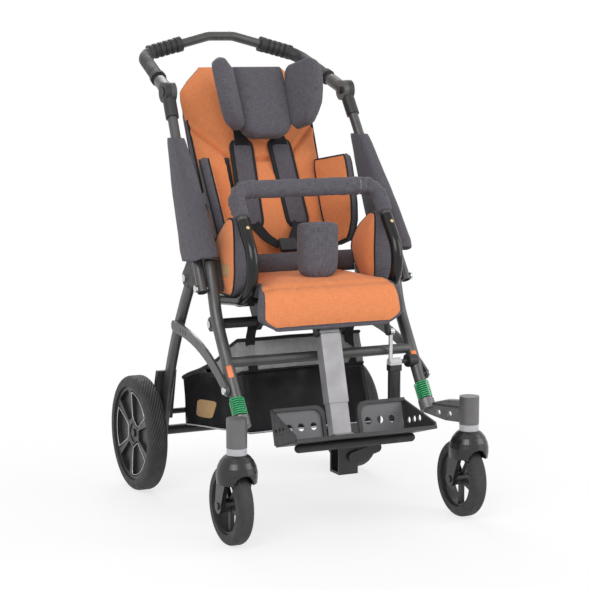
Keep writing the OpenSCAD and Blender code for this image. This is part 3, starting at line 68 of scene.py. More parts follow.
# %% Camera
CAMERA_AT = Vector((-1.8983, -3.997, 1.107))
CAMERA_YAW = math.radians(-25.618)
CAMERA_PITCH = math.radians(7.818)
camera_data = bpy.data.cameras.new("camera")
camera_data.lens = 113.68
camera_data.sensor_width = 36
camera = bpy.data.objects.new("camera", camera_data)
scene.collection.objects.link(camera)
right = Vector((math.cos(CAMERA_YAW), math.sin(CAMERA_YAW), 0))
back = Vector((math.sin(CAMERA_YAW) * math.cos(CAMERA_PITCH),
               -math.cos(CAMERA_YAW) * math.cos(CAMERA_PITCH), math.sin(CAMERA_PITCH)))
up = back.cross(right)
camera.matrix_world = Matrix((right, up, back)).transposed().to_4x4()
camera.location = CAMERA_AT
scene.camera = camera
print("camera at", tuple(CAMERA_AT))

# %% [markdown]
# ## Nodes
# Every finish is built from shader nodes. These helpers add a node with its inputs set, do sums with
# sockets and map a value to a range, so the recipes further down stay short.

# %% Node helpers
def base_finish(name, colour, roughness, **sockets):
    """A material with its plain values set on the shader's own sockets."""
    material = bpy.data.materials.new(name)
    material.use_nodes = True
    shader = material.node_tree.nodes["Principled BSDF"]
    shader.inputs["Base Color"].default_value = (*colour, 1)
    shader.inputs["Roughness"].default_value = roughness
    for socket, value in sockets.items():
        shader.inputs[socket.replace("_", " ")].default_value = value
    return material, material.node_tree, shader


def new_node(tree, kind, settings=None, **inputs):
    """A node with its settings and inputs: a socket is linked, any other value is set."""
    node = tree.nodes.new("ShaderNode" + kind)
    for name, value in (settings or {}).items():
        setattr(node, name, value)
    for name, value in inputs.items():
        socket = node.inputs[name.replace("_", " ")]
        if isinstance(value, bpy.types.NodeSocket):
            tree.links.new(value, socket)
        else:
            socket.default_value = value
    return node


def math_node(tree, operation, a, b=None, clamped=False):
    node = new_node(tree, "Math", {"operation": operation, "use_clamp": clamped})
    for socket, value in zip(node.inputs, (a, b)):
        if isinstance(value, bpy.types.NodeSocket):
            tree.links.new(value, socket)
        elif value is not None:
            socket.default_value = value
    return node.outputs[0]


def spread(tree, value, low, high, start=0.3, end=0.7):
    """Maps the values from start to end to a new range."""
    node = new_node(tree, "MapRange", Value=value, From_Min=start, From_Max=end, To_Min=low, To_Max=high)
    return node.outputs["Result"]


def object_place(tree):
    return new_node(tree, "TexCoord").outputs["Object"]


def noise_of(tree, vector, scale, detail=3.0):
    return new_node(tree, "TexNoise", Scale=scale, Detail=detail, Vector=vector).outputs["Fac"]


def blend_colours(tree, share, a, b):
    node = new_node(tree, "Mix", {"data_type": "RGBA"}, A=(*a, 1), B=(*b, 1), Factor=share)
    return node.outputs["Result"]


def bump(tree, height, shader, strength, distance):
    node = new_node(tree, "Bump", Strength=strength, Distance=distance, Height=height)
    tree.links.new(node.outputs["Normal"], shader.inputs["Normal"])
    return node


def seen_rays(tree):
    """1 for the rays that show a surface to the eye: straight, mirrored or through glass."""
    path = new_node(tree, "LightPath")
    total = path.outputs["Is Camera Ray"]
    for name in ("Is Glossy Ray", "Is Transmission Ray"):
        total = math_node(tree, "ADD", total, path.outputs[name], clamped=True)
    return total


print("node helpers ready")

# %% [markdown]
# ## Floor and light
# A plain white studio: one pale floor, a white world and three large soft lamps. The floor fades into
# the white of the world away from the buggy, and keeps its shadow close by.

# %% Floor and light
FLOOR_HALF = 30
FADE_FROM, FADE_TO = 0.40, 1.30
GLOW_NEAR = 0.72
SKY_LIGHT = 0.5
scene.view_settings.view_transform = "Standard"
floor_bm = bmesh.new()
bmesh.ops.create_grid(floor_bm, x_segments=1, y_segments=1, size=FLOOR_HALF)
floor_mesh = bpy.data.meshes.new("floor")
floor_bm.to_mesh(floor_mesh)
floor_bm.free()
floor = bpy.data.objects.new("floor", floor_mesh)
scene.collection.objects.link(floor)
floor_finish, floor_tree, floor_shader = base_finish("pale floor", (0.93, 0.93, 0.93), 0.9,
                                                     Specular_IOR_Level=0.1)
floor_far = new_node(floor_tree, "VectorMath", {"operation": "LENGTH"}, Vector=object_place(floor_tree))
floor_fade = spread(floor_tree, floor_far.outputs["Value"], GLOW_NEAR, 1.0, FADE_FROM, FADE_TO)
floor_share = math_node(floor_tree, "MULTIPLY", floor_fade, seen_rays(floor_tree))
floor_mix = new_node(floor_tree, "MixShader", Fac=floor_share)
floor_tree.links.new(floor_shader.outputs[0], floor_mix.inputs[1])
floor_tree.links.new(new_node(floor_tree, "Emission").outputs[0], floor_mix.inputs[2])
floor_tree.links.new(floor_mix.outputs[0], floor_tree.nodes["Material Output"].inputs["Surface"])
floor_mesh.materials.append(floor_finish)

world = bpy.data.worlds.new("studio")
scene.world = world
world.use_nodes = True
sky = world.node_tree
sky_back = sky.nodes["Background"]
sky_back.inputs["Color"].default_value = (1, 1, 1, 1)
sky.links.new(spread(sky, seen_rays(sky), SKY_LIGHT, 1.0, 0, 1), sky_back.inputs["Strength"])


def soft_lamp(name, at, aim, size, watts):
    """A square area lamp at a point, turned to face another point."""
    data = bpy.data.lights.new(name, "AREA")
    data.size = size
    data.energy = watts
    lamp = bpy.data.objects.new(name, data)
    scene.collection.objects.link(lamp)
    lamp.location = at
    lamp.rotation_euler = (Vector(aim) - Vector(at)).to_track_quat("-Z", "Y").to_euler()


soft_lamp("key", (-2.6, -2.8, 3.0), (0, 0, 0.6), 2.4, 95)
soft_lamp("fill", (3.0, -2.2, 1.9), (0, 0, 0.6), 2.4, 60)
soft_lamp("rim", (0.6, 3.0, 2.8), (0, 0, 0.8), 2.0, 60)

# %% [markdown]
# ## Finishes
# Hard parts read Object coordinates. Cloth reads the piece's own UV map, which is laid out in metres,
# so that threads have the same size on every pad. A hard finish has a cloudy tone, uneven gloss and a
# fine grain.

# %% Hard finishes
def hard_finish(name, colour, roughness, grain=900, grain_depth=0.00012, tone=0.15, **sockets):
    """Paint, plastic or metal: a cloudy tone, uneven gloss and a fine grain."""
    material, tree, shader = base_finish(name, colour, roughness, **sockets)
    place = object_place(tree)
    darker = [c * (1 - tone) for c in colour]
    lighter = [min(1, c * (1 + tone)) for c in colour]
    cloud = spread(tree, noise_of(tree, place, 18), 0, 1)
    tree.links.new(blend_colours(tree, cloud, darker, lighter), shader.inputs["Base Color"])
    smear = spread(tree, noise_of(tree, place, 60), roughness * 0.85, min(1, roughness * 1.15))
    tree.links.new(smear, shader.inputs["Roughness"])
    bump(tree, noise_of(tree, place, grain, 2), shader, 0.35, grain_depth)
    return material


graphite_paint = hard_finish("graphite paint", (0.085, 0.083, 0.082), 0.36, Metallic=0.35)
handle_paint = hard_finish("handle paint", (0.080, 0.079, 0.077), 0.32, Metallic=0.3)
gloss_black_paint = hard_finish("gloss black paint", (0.008, 0.008, 0.008), 0.20, grain_depth=0.00004,
                                Specular_IOR_Level=0.35)
satin_black_metal = hard_finish("satin black metal", (0.022, 0.022, 0.023), 0.38, Metallic=0.2)
arm_casting = hard_finish("grey casting", (0.145, 0.14, 0.142), 0.42, grain=500, Metallic=0.35)
post_metal = hard_finish("brushed post", (0.35, 0.34, 0.355), 0.42, Metallic=0.5)
bolt_steel = hard_finish("bolt steel", (0.62, 0.62, 0.63), 0.22, grain_depth=0.00003, Metallic=1.0)
button_brass = hard_finish("button brass", (0.78, 0.60, 0.30), 0.25, Metallic=1.0)
spring_green = hard_finish("spring green", (0.012, 0.36, 0.12), 0.28, Coat_Weight=0.3)
moulded_black = hard_finish("moulded black", (0.020, 0.020, 0.021), 0.48, grain=1400, grain_depth=0.0002)
gloss_black_plastic = hard_finish("gloss black plastic", (0.016, 0.016, 0.017), 0.26, grain_depth=0.00004)
rim_black = hard_finish("rim black", (0.022, 0.022, 0.023), 0.42, grain=1200)
grip_rubber = hard_finish("grip rubber", (0.022, 0.022, 0.023), 0.62, grain=800, grain_depth=0.0002)
rear_tread = hard_finish("rear tyre rubber", (0.026, 0.026, 0.027), 0.70, grain=700, grain_depth=0.0003)
caster_tread = hard_finish("caster tyre rubber", (0.034, 0.034, 0.036), 0.72, grain=700, grain_depth=0.0003)
plate_plastic = hard_finish("plate plastic", (0.030, 0.030, 0.032), 0.50, grain=1400, grain_depth=0.0002)
gas_black = hard_finish("gas spring black", (0.022, 0.022, 0.023), 0.40)
ring_grey = hard_finish("ring grey", (0.50, 0.50, 0.53), 0.5, grain_depth=0.00005)
# painted highlight: a bright metal finish standing in for the light that catches the chamfered window edges
# of the rear rims
painted_highlight_line = hard_finish("painted chamfer highlight", (0.55, 0.55, 0.56), 0.35, Metallic=0.6)
marker_orange = hard_finish("marker orange", (0.80, 0.22, 0.08), 0.5)
stitch_white = hard_finish("stitch", (0.42, 0.42, 0.43), 0.7)
print("hard finishes made")

# %% [markdown]
# The upholstery is a coarse woven cloth: two thread directions cross, and single threads are lighter
# or darker, which gives the streaks that are seen from far away. Both waves go into the bump.

# %% Cloth finishes
# A wave texture of scale 1 runs through this many radians in one metre.
WAVE_RADIANS = 20


def cloth_finish(name, colour, streak, thread=0.0016, roughness=0.88, sheen=0.12, depth=0.0005):
    """Woven cloth: crossing threads as bump, long noise as lighter and darker threads."""
    material, tree, shader = base_finish(name, colour, roughness, Sheen_Weight=sheen, Sheen_Roughness=0.5,
                                         Specular_IOR_Level=0.15)
    place = new_node(tree, "TexCoord").outputs["UV"]
    scale = 2 * math.pi / (WAVE_RADIANS * thread)
    threads = []
    for direction in ("X", "Y"):
        wave = new_node(tree, "TexWave", {"bands_direction": direction}, Scale=scale, Distortion=0.6,
                        Detail=1, Vector=place)
        threads.append(wave.outputs["Fac"])
    bump(tree, math_node(tree, "MAXIMUM", *threads), shader, 0.5, depth)
    streaks = []
    for stretch in ((60, 900, 1), (900, 60, 1)):
        drawn = new_node(tree, "Mapping", Scale=stretch, Vector=place)
        streaks.append(noise_of(tree, drawn.outputs["Vector"], 1.0, 2))
    mean = math_node(tree, "MULTIPLY", math_node(tree, "ADD", *streaks), 0.5)
    tree.links.new(blend_colours(tree, spread(tree, mean, 0, 1), colour, streak), shader.inputs["Base Color"])
    return material


orange_cloth = cloth_finish("orange cloth", (0.70, 0.190, 0.070), (0.84, 0.33, 0.135))
denim_cloth = cloth_finish("dark grey cloth", (0.056, 0.052, 0.063), (0.150, 0.140, 0.162))
binding_cloth = cloth_finish("binding", (0.018, 0.018, 0.020), (0.030, 0.030, 0.033), thread=0.0012)
lining_cloth = cloth_finish("lining", (0.020, 0.020, 0.021), (0.034, 0.034, 0.036))
webbing_cloth = cloth_finish("webbing", (0.012, 0.012, 0.013), (0.025, 0.025, 0.027), thread=0.0025,
                             depth=0.0008)
basket_cloth = cloth_finish("basket cloth", (0.010, 0.010, 0.011), (0.020, 0.020, 0.022), roughness=0.34,
                            sheen=0.0)
net_cloth = cloth_finish("net", (0.32, 0.32, 0.325), (0.43, 0.43, 0.435), roughness=0.7)
patch_leather = cloth_finish("tan patch", (0.42, 0.25, 0.11), (0.50, 0.32, 0.16), thread=0.003, roughness=0.6)
print("finishes:", len(bpy.data.materials))

# %% [markdown]
# Each hard solid now gets its finish. The table lists the solids by the finish that they share.

# %% Finishes on the hard solids
SOLID_FINISH = {
    graphite_paint: ["front_tube_right", "front_tube_left", "front_crossbar", "upper_tube_right",
                     "upper_tube_left", "rear_leg_right", "rear_leg_left", "fold_links"],
    satin_black_metal: ["seat_crossbar", "gas_bracket", "rear_axle_tube", "brake_pedal", "seat_frame",
                        "headrest_stem", "clamp_bracket", "clamp_lever"],
    gloss_black_paint: ["arm_tube_right", "arm_tube_left"],
    handle_paint: ["push_handle", "grab_bar"],
    moulded_black: ["hinge_housings", "handle_joints", "brake_housings", "handle_button_right",
                    "handle_button_left", "back_shell"],
    plate_plastic: ["footplate"],
    gas_black: ["gas_cylinder"],
    gloss_black_plastic: ["caster_fork_right", "caster_fork_left"],
    arm_casting: ["caster_arm_right", "caster_arm_left"],
    post_metal: ["legrest_post", "footrest_tube"],
    bolt_steel: ["frame_bolts", "gas_rod"],
    button_brass: ["snap_buttons"],
    rim_black: ["rear_rim_right", "rear_rim_left", "caster_rim_right", "caster_rim_left"],
    rear_tread: ["rear_tyre_right", "rear_tyre_left"],
    caster_tread: ["caster_tyre_right", "caster_tyre_left"],
    grip_rubber: ["handle_grips", "bumper_rod"],
}
for material, names in SOLID_FINISH.items():
    for name in names:
        nodes[name].data.materials.clear()
        nodes[name].data.materials.append(material)
print("dressed solids:", sum(len(v) for v in SOLID_FINISH.values()))

# %% [markdown]
# Some solids carry two finishes. A fork has a pale ring under the stem, the gas spring has a bright
# cap, and the heel guards of the footplate are lighter than its floor. Object coordinates say where
# each one lies, so a few comparisons make the mask. The tyres get their tread in the same way: the
# angle round the axle is multiplied and goes through a sine into the bump.

# %% Finishes with a place
FORK_RING = (0.2098, 0.2260)
GAS_CAP = (-0.016, 0.01)
POST_LEAN = math.radians(16.3)
PLATE_AT = (0, -0.300, 0.209)
HEEL_X, HEEL_Y, HEEL_Z = (0.0505, 0.160), (0.003, 0.012), (0.004, 0.0695)
REAR_AXLE, CASTER_AXLE = (0, 0.244, 0.142), (0, -0.329, 0.090)


def own_axes(tree, at=(0, 0, 0), turn=0.0):
    """X, Y and Z measured from a point of the object, turned about X."""
    mapping = new_node(tree, "Mapping", {"vector_type": "TEXTURE"}, Location=at, Rotation=(turn, 0, 0),
                       Vector=object_place(tree))
    return new_node(tree, "SeparateXYZ", Vector=mapping.outputs["Vector"]).outputs


def between(tree, value, limits):
    return math_node(tree, "MULTIPLY", math_node(tree, "GREATER_THAN", value, limits[0]),
                     math_node(tree, "LESS_THAN", value, limits[1]))


def second_colour(material, mask, colour):
    """Lays another colour over a finish where the mask is 1."""
    tree = material.node_tree
    base = tree.nodes["Principled BSDF"].inputs["Base Color"]
    mix = new_node(tree, "Mix", {"data_type": "RGBA"}, A=base.links[0].from_socket, B=(*colour, 1),
                   Factor=mask)
    tree.links.new(mix.outputs["Result"], base)


def tread(material, at, radius, count, slant):
    """Slanting grooves on the running face of a wheel with its axle along X."""
    tree = material.node_tree
    shader = tree.nodes["Principled BSDF"]
    x, y, z = own_axes(tree, at)
    turned = math_node(tree, "MULTIPLY", math_node(tree, "ARCTAN2", y, z), count)
    across = math_node(tree, "MULTIPLY", math_node(tree, "ABSOLUTE", x), slant)
    wave = math_node(tree, "SINE", math_node(tree, "ADD", turned, across))
    squares = [math_node(tree, "MULTIPLY", axis, axis) for axis in (y, z)]
    reach = math_node(tree, "SQRT", math_node(tree, "ADD", *squares))
    first = shader.inputs["Normal"].links[0].from_socket
    outer = math_node(tree, "GREATER_THAN", reach, radius)
    groove = bump(tree, math_node(tree, "MULTIPLY", wave, outer), shader, 0.6, 0.0012)
    tree.links.new(first, groove.inputs["Normal"])


fork_tree = gloss_black_plastic.node_tree
second_colour(gloss_black_plastic, between(fork_tree, own_axes(fork_tree)[2], FORK_RING), (0.46, 0.45, 0.48))
gas_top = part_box("gas_cylinder")[1][2]
gas_tree = gas_black.node_tree
cap_mask = between(gas_tree, own_axes(gas_tree)[2], [gas_top + step for step in GAS_CAP])
second_colour(gas_black, cap_mask, (0.55, 0.55, 0.56))
plate_tree = plate_plastic.node_tree
plate_x, plate_y, plate_z = own_axes(plate_tree, PLATE_AT, -POST_LEAN)
heel = math_node(plate_tree, "MULTIPLY", between(plate_tree, plate_z, HEEL_Z),
                 between(plate_tree, math_node(plate_tree, "ABSOLUTE", plate_x), HEEL_X))
heel = math_node(plate_tree, "MULTIPLY", heel, between(plate_tree, plate_y, HEEL_Y))
second_colour(plate_plastic, heel, (0.150, 0.145, 0.155))
tread(rear_tread, REAR_AXLE, 0.132, 60, 900)
tread(caster_tread, CASTER_AXLE, 0.074, 48, 1100)
print("placed finishes: 5")

# %% [markdown]
# ## Making pieces
# Three helpers make nearly every soft piece. A loft starts from one circle and extrudes it ring by
# ring. A pad starts from a grid, gets a back and walls by extrusion, and is then filled with air by a
# cloth simulation while its seams are held. A cord of piping follows each seam.

# %% Small sums
SAME = 1e-6


def clamp(t):
    return max(0.0, min(1.0, t))


def ease(t):
    t = clamp(t)
    return t * t * (3 - 2 * t)


def bell(x, wide):
    return math.exp(-(x / wide) ** 2)


def value_at(table, t):
    """Reads a table of (t, value) pairs, with straight steps between them."""
    for (t0, a), (t1, b) in zip(table, table[1:]):
        if t <= t1:
            return a + (b - a) * clamp((t - t0) / (t1 - t0))
    return table[-1][1]


def side_name(x):
    return "left" if x > 0 else "right"


def path_length(points):
    return sum((b - a).length for a, b in zip(points, points[1:]))


print("small sums ready")

# %% [markdown]
# A piece is a mesh with its finishes, riding on one body of the frame. Its twin on the other side of
# the buggy is a mirrored copy. The skin of a piece can be hit by rays, so that a patch can lie on it.

# %% Pieces and twins
def place_object(name, mesh, body, slot):
    """An object for a mesh, linked to the scene, riding on a body."""
    obj = bpy.data.objects.new(name, mesh)
    scene.collection.objects.link(obj)
    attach(obj, body)
    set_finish(obj, slot)
    return obj


def piece(name, bm, body, slot, *materials):
    """Turns a bmesh into a smooth object that rides on a body."""
    bmesh.ops.recalc_face_normals(bm, faces=bm.faces)
    mesh = bpy.data.meshes.new(name)
    bm.to_mesh(mesh)
    bm.free()
    mesh.shade_smooth()
    for material in materials:
        mesh.materials.append(material)
    return place_object(name, mesh, body, slot)


def mirrored(obj, name, body):
    """The same piece on the other side of the buggy."""
    bm = bmesh.new()
    bm.from_mesh(obj.data)
    bmesh.ops.scale(bm, verts=bm.verts, vec=(-1, 1, 1))
    bmesh.ops.reverse_faces(bm, faces=bm.faces)
    mesh = bpy.data.meshes.new(name)
    bm.to_mesh(mesh)
    bm.free()
    for material in obj.data.materials:
        mesh.materials.append(material)
    return place_object(name, mesh, body, obj["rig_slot"])


def skin_of(obj):
    """The faces of a piece, ready to be hit by rays."""
    return BVHTree.FromPolygons([v.co for v in obj.data.vertices], [f.vertices for f in obj.data.polygons])


print("pieces and twins ready")

# %% [markdown]
# A loft starts from one circle of points and extrudes its edges from ring to ring. The UVs follow: u
# goes round the ring and v along the loft, both in metres.

# %% Lofts
def loft(bm, rings, cap_start=True, cap_end=True, material=0):
    """Extrudes a circle through rings of points, and lays out UVs in metres."""
    n = len(rings[0])
    uv_layer = bm.loops.layers.uv.verify()
    ring_verts = bmesh.ops.create_circle(bm, cap_ends=False, segments=n, radius=1)["verts"]
    for vert, point in zip(ring_verts, rings[0]):
        vert.co = point
    around = sum((Vector(rings[0][j]) - Vector(rings[0][j - 1])).length for j in range(n))
    place = {vert: (j, 0.0) for j, vert in enumerate(ring_verts)}
    faces = []
    length = 0.0
    first = ring_verts
    for i in range(1, len(rings)):
        order = {vert: j for j, vert in enumerate(ring_verts)}
        edges = [bm.edges.get((ring_verts[j - 1], ring_verts[j])) for j in range(n)]
        geom = bmesh.ops.extrude_edge_only(bm, edges=edges)["geom"]
        new = [None] * n
        for side in (g for g in geom if isinstance(g, bmesh.types.BMFace)):
            faces.append(side)
            for edge in side.edges:
                a, b = edge.verts
                if (a in order) != (b in order):
                    old, made = (a, b) if a in order else (b, a)
                    new[order[old]] = made
        length += (Vector(rings[i][0]) - Vector(rings[i - 1][0])).length
        for j in range(n):
            new[j].co = rings[i][j]
            place[new[j]] = (j, length)
        ring_verts = new
    for face in faces:
        face.material_index = material
        seam = {0, n - 1} <= {place[loop.vert][0] for loop in face.loops}
        for loop in face.loops:
            j, along = place[loop.vert]
            loop[uv_layer].uv = ((j + n if seam and j == 0 else j) / n * around, along)
    for cap, ring in ((cap_start, first), (cap_end, ring_verts)):
        if cap:
            edges = [bm.edges.get((ring[j - 1], ring[j])) for j in range(n)]
            lid = bmesh.ops.contextual_create(bm, geom=edges)["faces"][0]
            lid.material_index = material
            for loop in lid.loops:
                loop[uv_layer].uv = (loop.vert.co.x, loop.vert.co.y)
            bmesh.ops.poke(bm, faces=[lid])


def oval(a, b, power, n):
    """A squarish oval: power 1 is an ellipse, less is squarer."""
    points = []
    for j in range(n):
        c, s = math.cos(2 * math.pi * j / n), math.sin(2 * math.pi * j / n)
        points.append((a * math.copysign(abs(c) ** power, c), b * math.copysign(abs(s) ** power, s)))
    return points


print("lofts ready")

# %% [markdown]
# Cords and straps are lofts along a path. A cord has round rings and a strap has flat ones. A patch is a
# flat loft that a function lays on a surface.

# %% Cords, straps and patches
def smooth_path(points, count, steps=24):
    """Even points on a smooth curve through the given points."""
    curve = []
    for i in range(len(points) - 1):
        p0, p1 = points[max(i - 1, 0)], points[i]
        p2, p3 = points[i + 1], points[min(i + 2, len(points) - 1)]
        for k in range(steps):
            t = k / steps
            curve.append(0.5 * (2 * p1 + (p2 - p0) * t + (2 * p0 - 5 * p1 + 4 * p2 - p3) * t * t
                                + (3 * p1 - p0 - 3 * p2 + p3) * t ** 3))
    curve.append(points[-1])
    marks = [0.0]
    for a, b in zip(curve, curve[1:]):
        marks.append(marks[-1] + (b - a).length)
    even = []
    k = 0
    for i in range(count):
        want = marks[-1] * i / (count - 1)
        while k < len(curve) - 2 and marks[k + 1] < want:
            k += 1
        span = marks[k + 1] - marks[k]
        even.append(curve[k].lerp(curve[k + 1], (want - marks[k]) / span if span else 0))
    return even


def tube_rings(points, radius, n=8):
    """Rings round a path, without twist; the radius may change along it."""
    rings = []
    last = len(points) - 1
    side = None
    for i, p in enumerate(points):
        way = (points[min(i + 1, last)] - points[max(i - 1, 0)]).normalized()
        if side is None:
            side = way.orthogonal().normalized()
        side = (side - way * side.dot(way)).normalized()
        other = way.cross(side)
        r = radius(i / max(last, 1)) if callable(radius) else radius
        rings.append([p + side * (r * math.cos(2 * math.pi * j / n))
                      + other * (r * math.sin(2 * math.pi * j / n)) for j in range(n)])
    return rings


def cord_of(name, points, radius, body, slot, material, closed=False):
    """A round bead along a path, such as piping in a seam."""
    bm = bmesh.new()
    path = points + [points[0]] if closed else points
    loft(bm, tube_rings(path, radius), not closed, not closed)
    bmesh.ops.remove_doubles(bm, verts=bm.verts, dist=SAME)
    return piece(name, bm, body, slot, material)


def strip(name, points, width, thick, across, body, slot, material):
    """A flat strap along points; across is the direction of its width, width may change along it."""
    bm = bmesh.new()
    rings = []
    last = len(points) - 1
    for i, p in enumerate(points):
        way = (points[min(i + 1, last)] - points[max(i - 1, 0)]).normalized()
        wide = (Vector(across) - way * Vector(across).dot(way)).normalized()
        deep = way.cross(wide)
        full = width(i / last) if callable(width) else width
        rings.append([p + wide * x + deep * y for x, y in oval(full / 2, thick / 2, 0.25, 16)])
    loft(bm, rings)
    return piece(name, bm, body, slot, material)


def sewn_patch(name, place, wide, tall, thick, body, slot, material):
    """A small bare patch with round corners, laid on a surface by place(a, b, lift)."""
    crown = 0.0004
    bm = bmesh.new()
    rings = []
    for lift, share in ((-thick, 1.0), (0, 1.0), (crown, 0.97), (crown, 0.6), (crown, 0.2)):
        rings.append([place(a * share, b * share, lift) for a, b in oval(wide / 2, tall / 2, 0.35, 48)])
    loft(bm, rings)
    return piece(name, bm, body, slot, material)


print("cords, straps and patches ready")

# %% [markdown]
# A pad is sewn flat. Its outline is a rectangle in u and v, the front lies at w = 0, and walls go back
# by its thickness. Rims and sewn channels are pinned, and pressure rounds the rest. Last of all the pad
# is carried to its place on the seat by a function of u, v and w, so a flap can bend over an edge.

# %% Flat pads
def rim_distance(u, v, size):
    return min(size[0] - abs(u), v, size[1] - v)


def channel_distance(u, v, channels):
    nearest = 1.0
    point = Vector((u, v, 0))
    for a, b in channels:
        a, b = Vector((*a, 0)), Vector((*b, 0))
        t = clamp((point - a).dot(b - a) / (b - a).length_squared)
        nearest = min(nearest, (point - a - (b - a) * t).length)
    return nearest


def swell(distance, reach):
    return math.sqrt(1 - (1 - clamp(distance / reach)) ** 2)


def flat_pad(size, cell, channels):
    """A flat box of cloth cells, with edges along its channels."""
    half, length, thick = size
    bm = bmesh.new()
    columns, rows = max(4, round(2 * half / cell)), max(4, round(length / cell))
    bmesh.ops.create_grid(bm, x_segments=columns, y_segments=rows, size=0.5)
    bmesh.ops.transform(bm, verts=bm.verts, matrix=Matrix.Translation((0, length / 2, 0))
                        @ Matrix.Diagonal((2 * half, length, 1, 1)))
    for a, b in channels:
        line = Vector((b[0] - a[0], b[1] - a[1], 0)).normalized()
        bmesh.ops.bisect_plane(bm, geom=list(bm.verts) + list(bm.edges) + list(bm.faces), dist=1e-5,
                               plane_co=(*a, 0), plane_no=(line.y, -line.x, 0))
    geom = bmesh.ops.extrude_face_region(bm, geom=list(bm.faces), use_keep_orig=True)["geom"]
    rear_verts = [g for g in geom if isinstance(g, bmesh.types.BMVert)]
    bmesh.ops.translate(bm, verts=rear_verts, vec=(0, 0, -thick))
    walls = [e for e in bm.edges if abs(e.verts[0].co.z - e.verts[1].co.z) > thick / 2]
    bmesh.ops.subdivide_edges(bm, edges=walls, cuts=max(1, round(thick / cell)), use_grid_fill=True)
    bm.verts.ensure_lookup_table()
    return bm


def lay_cloth(bm, size, cell, band, plain_walls):
    """Gives each cell its cloth, 0 front, 1 wall or 2 back, and its UVs in metres."""
    half, thick = size[0], size[2]
    uv_layer = bm.loops.layers.uv.verify()
    for face in bm.faces:
        heights = [v.co.z for v in face.verts]
        face.material_index = 0 if min(heights) > -SAME else 2 if max(heights) < SAME - thick else 1
        middle = face.calc_center_median()
        edge_row = rim_distance(middle.x, middle.y, size) < 0.9 * cell
        for loop in face.loops:
            c = loop.vert.co
            if face.material_index == 1:
                loop[uv_layer].uv = (c.y if abs(abs(c.x) - half) < SAME else c.x, c.z)
            else:
                loop[uv_layer].uv = (c.x, c.y)
        if face.material_index == 0 and band is not None and edge_row and middle.y > band:
            face.material_index = 1
        elif face.material_index == 1 and middle.y > plain_walls:
            face.material_index = 0


print("flat pads ready")

# %% [markdown]
# The faces of a pad are lifted between its seams, and its walls are bowed. Then pressure works on it as
# cloth for a few frames while the seams are held, and each point takes at most a small step of that.

# %% Filling a pad
SEAM_RISE = 0.30
SEAM_REACH = 0.6
CLOTH_SETTINGS = {"quality": 4, "mass": 0.2, "tension_stiffness": 12, "compression_stiffness": 12,
                  "shear_stiffness": 5, "bending_stiffness": 0.4, "use_pressure": True,
                  "uniform_pressure_force": 4, "vertex_group_mass": "seam"}


def crown_pad(bm, size, crown, back_crown, channels, reach, wall_bow):
    """Lifts the faces between the seams, bows the walls and returns the points to pin."""
    half, length, thick = size
    pins = []
    for vert in bm.verts:
        c = vert.co
        d = rim_distance(c.x, c.y, size)
        on_face = c.z > -SAME or c.z < SAME - thick
        if on_face and d < SAME:
            pins.append(vert.index)
        elif on_face:
            lift = crown if c.z > -thick / 2 else -back_crown
            rise = swell(d, reach)
            if channels and c.z > -thick / 2:
                near = channel_distance(c.x, c.y, channels)
                rise *= SEAM_RISE + (1 - SEAM_RISE) * swell(near, reach * SEAM_REACH)
                if near < 1e-4:
                    pins.append(vert.index)
            vert.co.z += lift * rise
        else:
            out = wall_bow * math.sin(math.pi * min(1, -c.z / thick))
            if abs(abs(c.x) - half) < SAME:
                vert.co.x += math.copysign(out, c.x)
            if c.y < SAME or c.y > length - SAME:
                vert.co.y += out if c.y > length / 2 else -out
    return pins


def inflate(obj, cap, frames=20):
    """Cloth under pressure with the seams held; no point moves further than cap."""
    rest = [v.co.copy() for v in obj.data.vertices]
    cloth = obj.modifiers.new("cloth", "CLOTH")
    for name, value in CLOTH_SETTINGS.items():
        setattr(cloth.settings, name, value)
    cloth.settings.effector_weights.gravity = 0
    cloth.point_cache.frame_start = 1
    cloth.point_cache.frame_end = frames
    for step in range(1, frames + 1):
        scene.frame_set(step)
    shown = obj.evaluated_get(bpy.context.evaluated_depsgraph_get())
    moved = [v.co.copy() for v in shown.data.vertices]
    obj.modifiers.remove(cloth)
    for vert, was, now in zip(obj.data.vertices, rest, moved):
        step = now - was
        vert.co = was + (step if step.length < cap else step.normalized() * cap)
    scene.frame_set(1)


print("filling ready")

# %% [markdown]
# The maker puts these steps together. After the filling it adds pleats beside the channels, gathers and
# small folds near the rim, and carries each point to its place.

# %% The pad maker
PLEAT_AT, PLEAT_WIDE, GROOVE_WIDE = 0.011, 0.006, 0.003


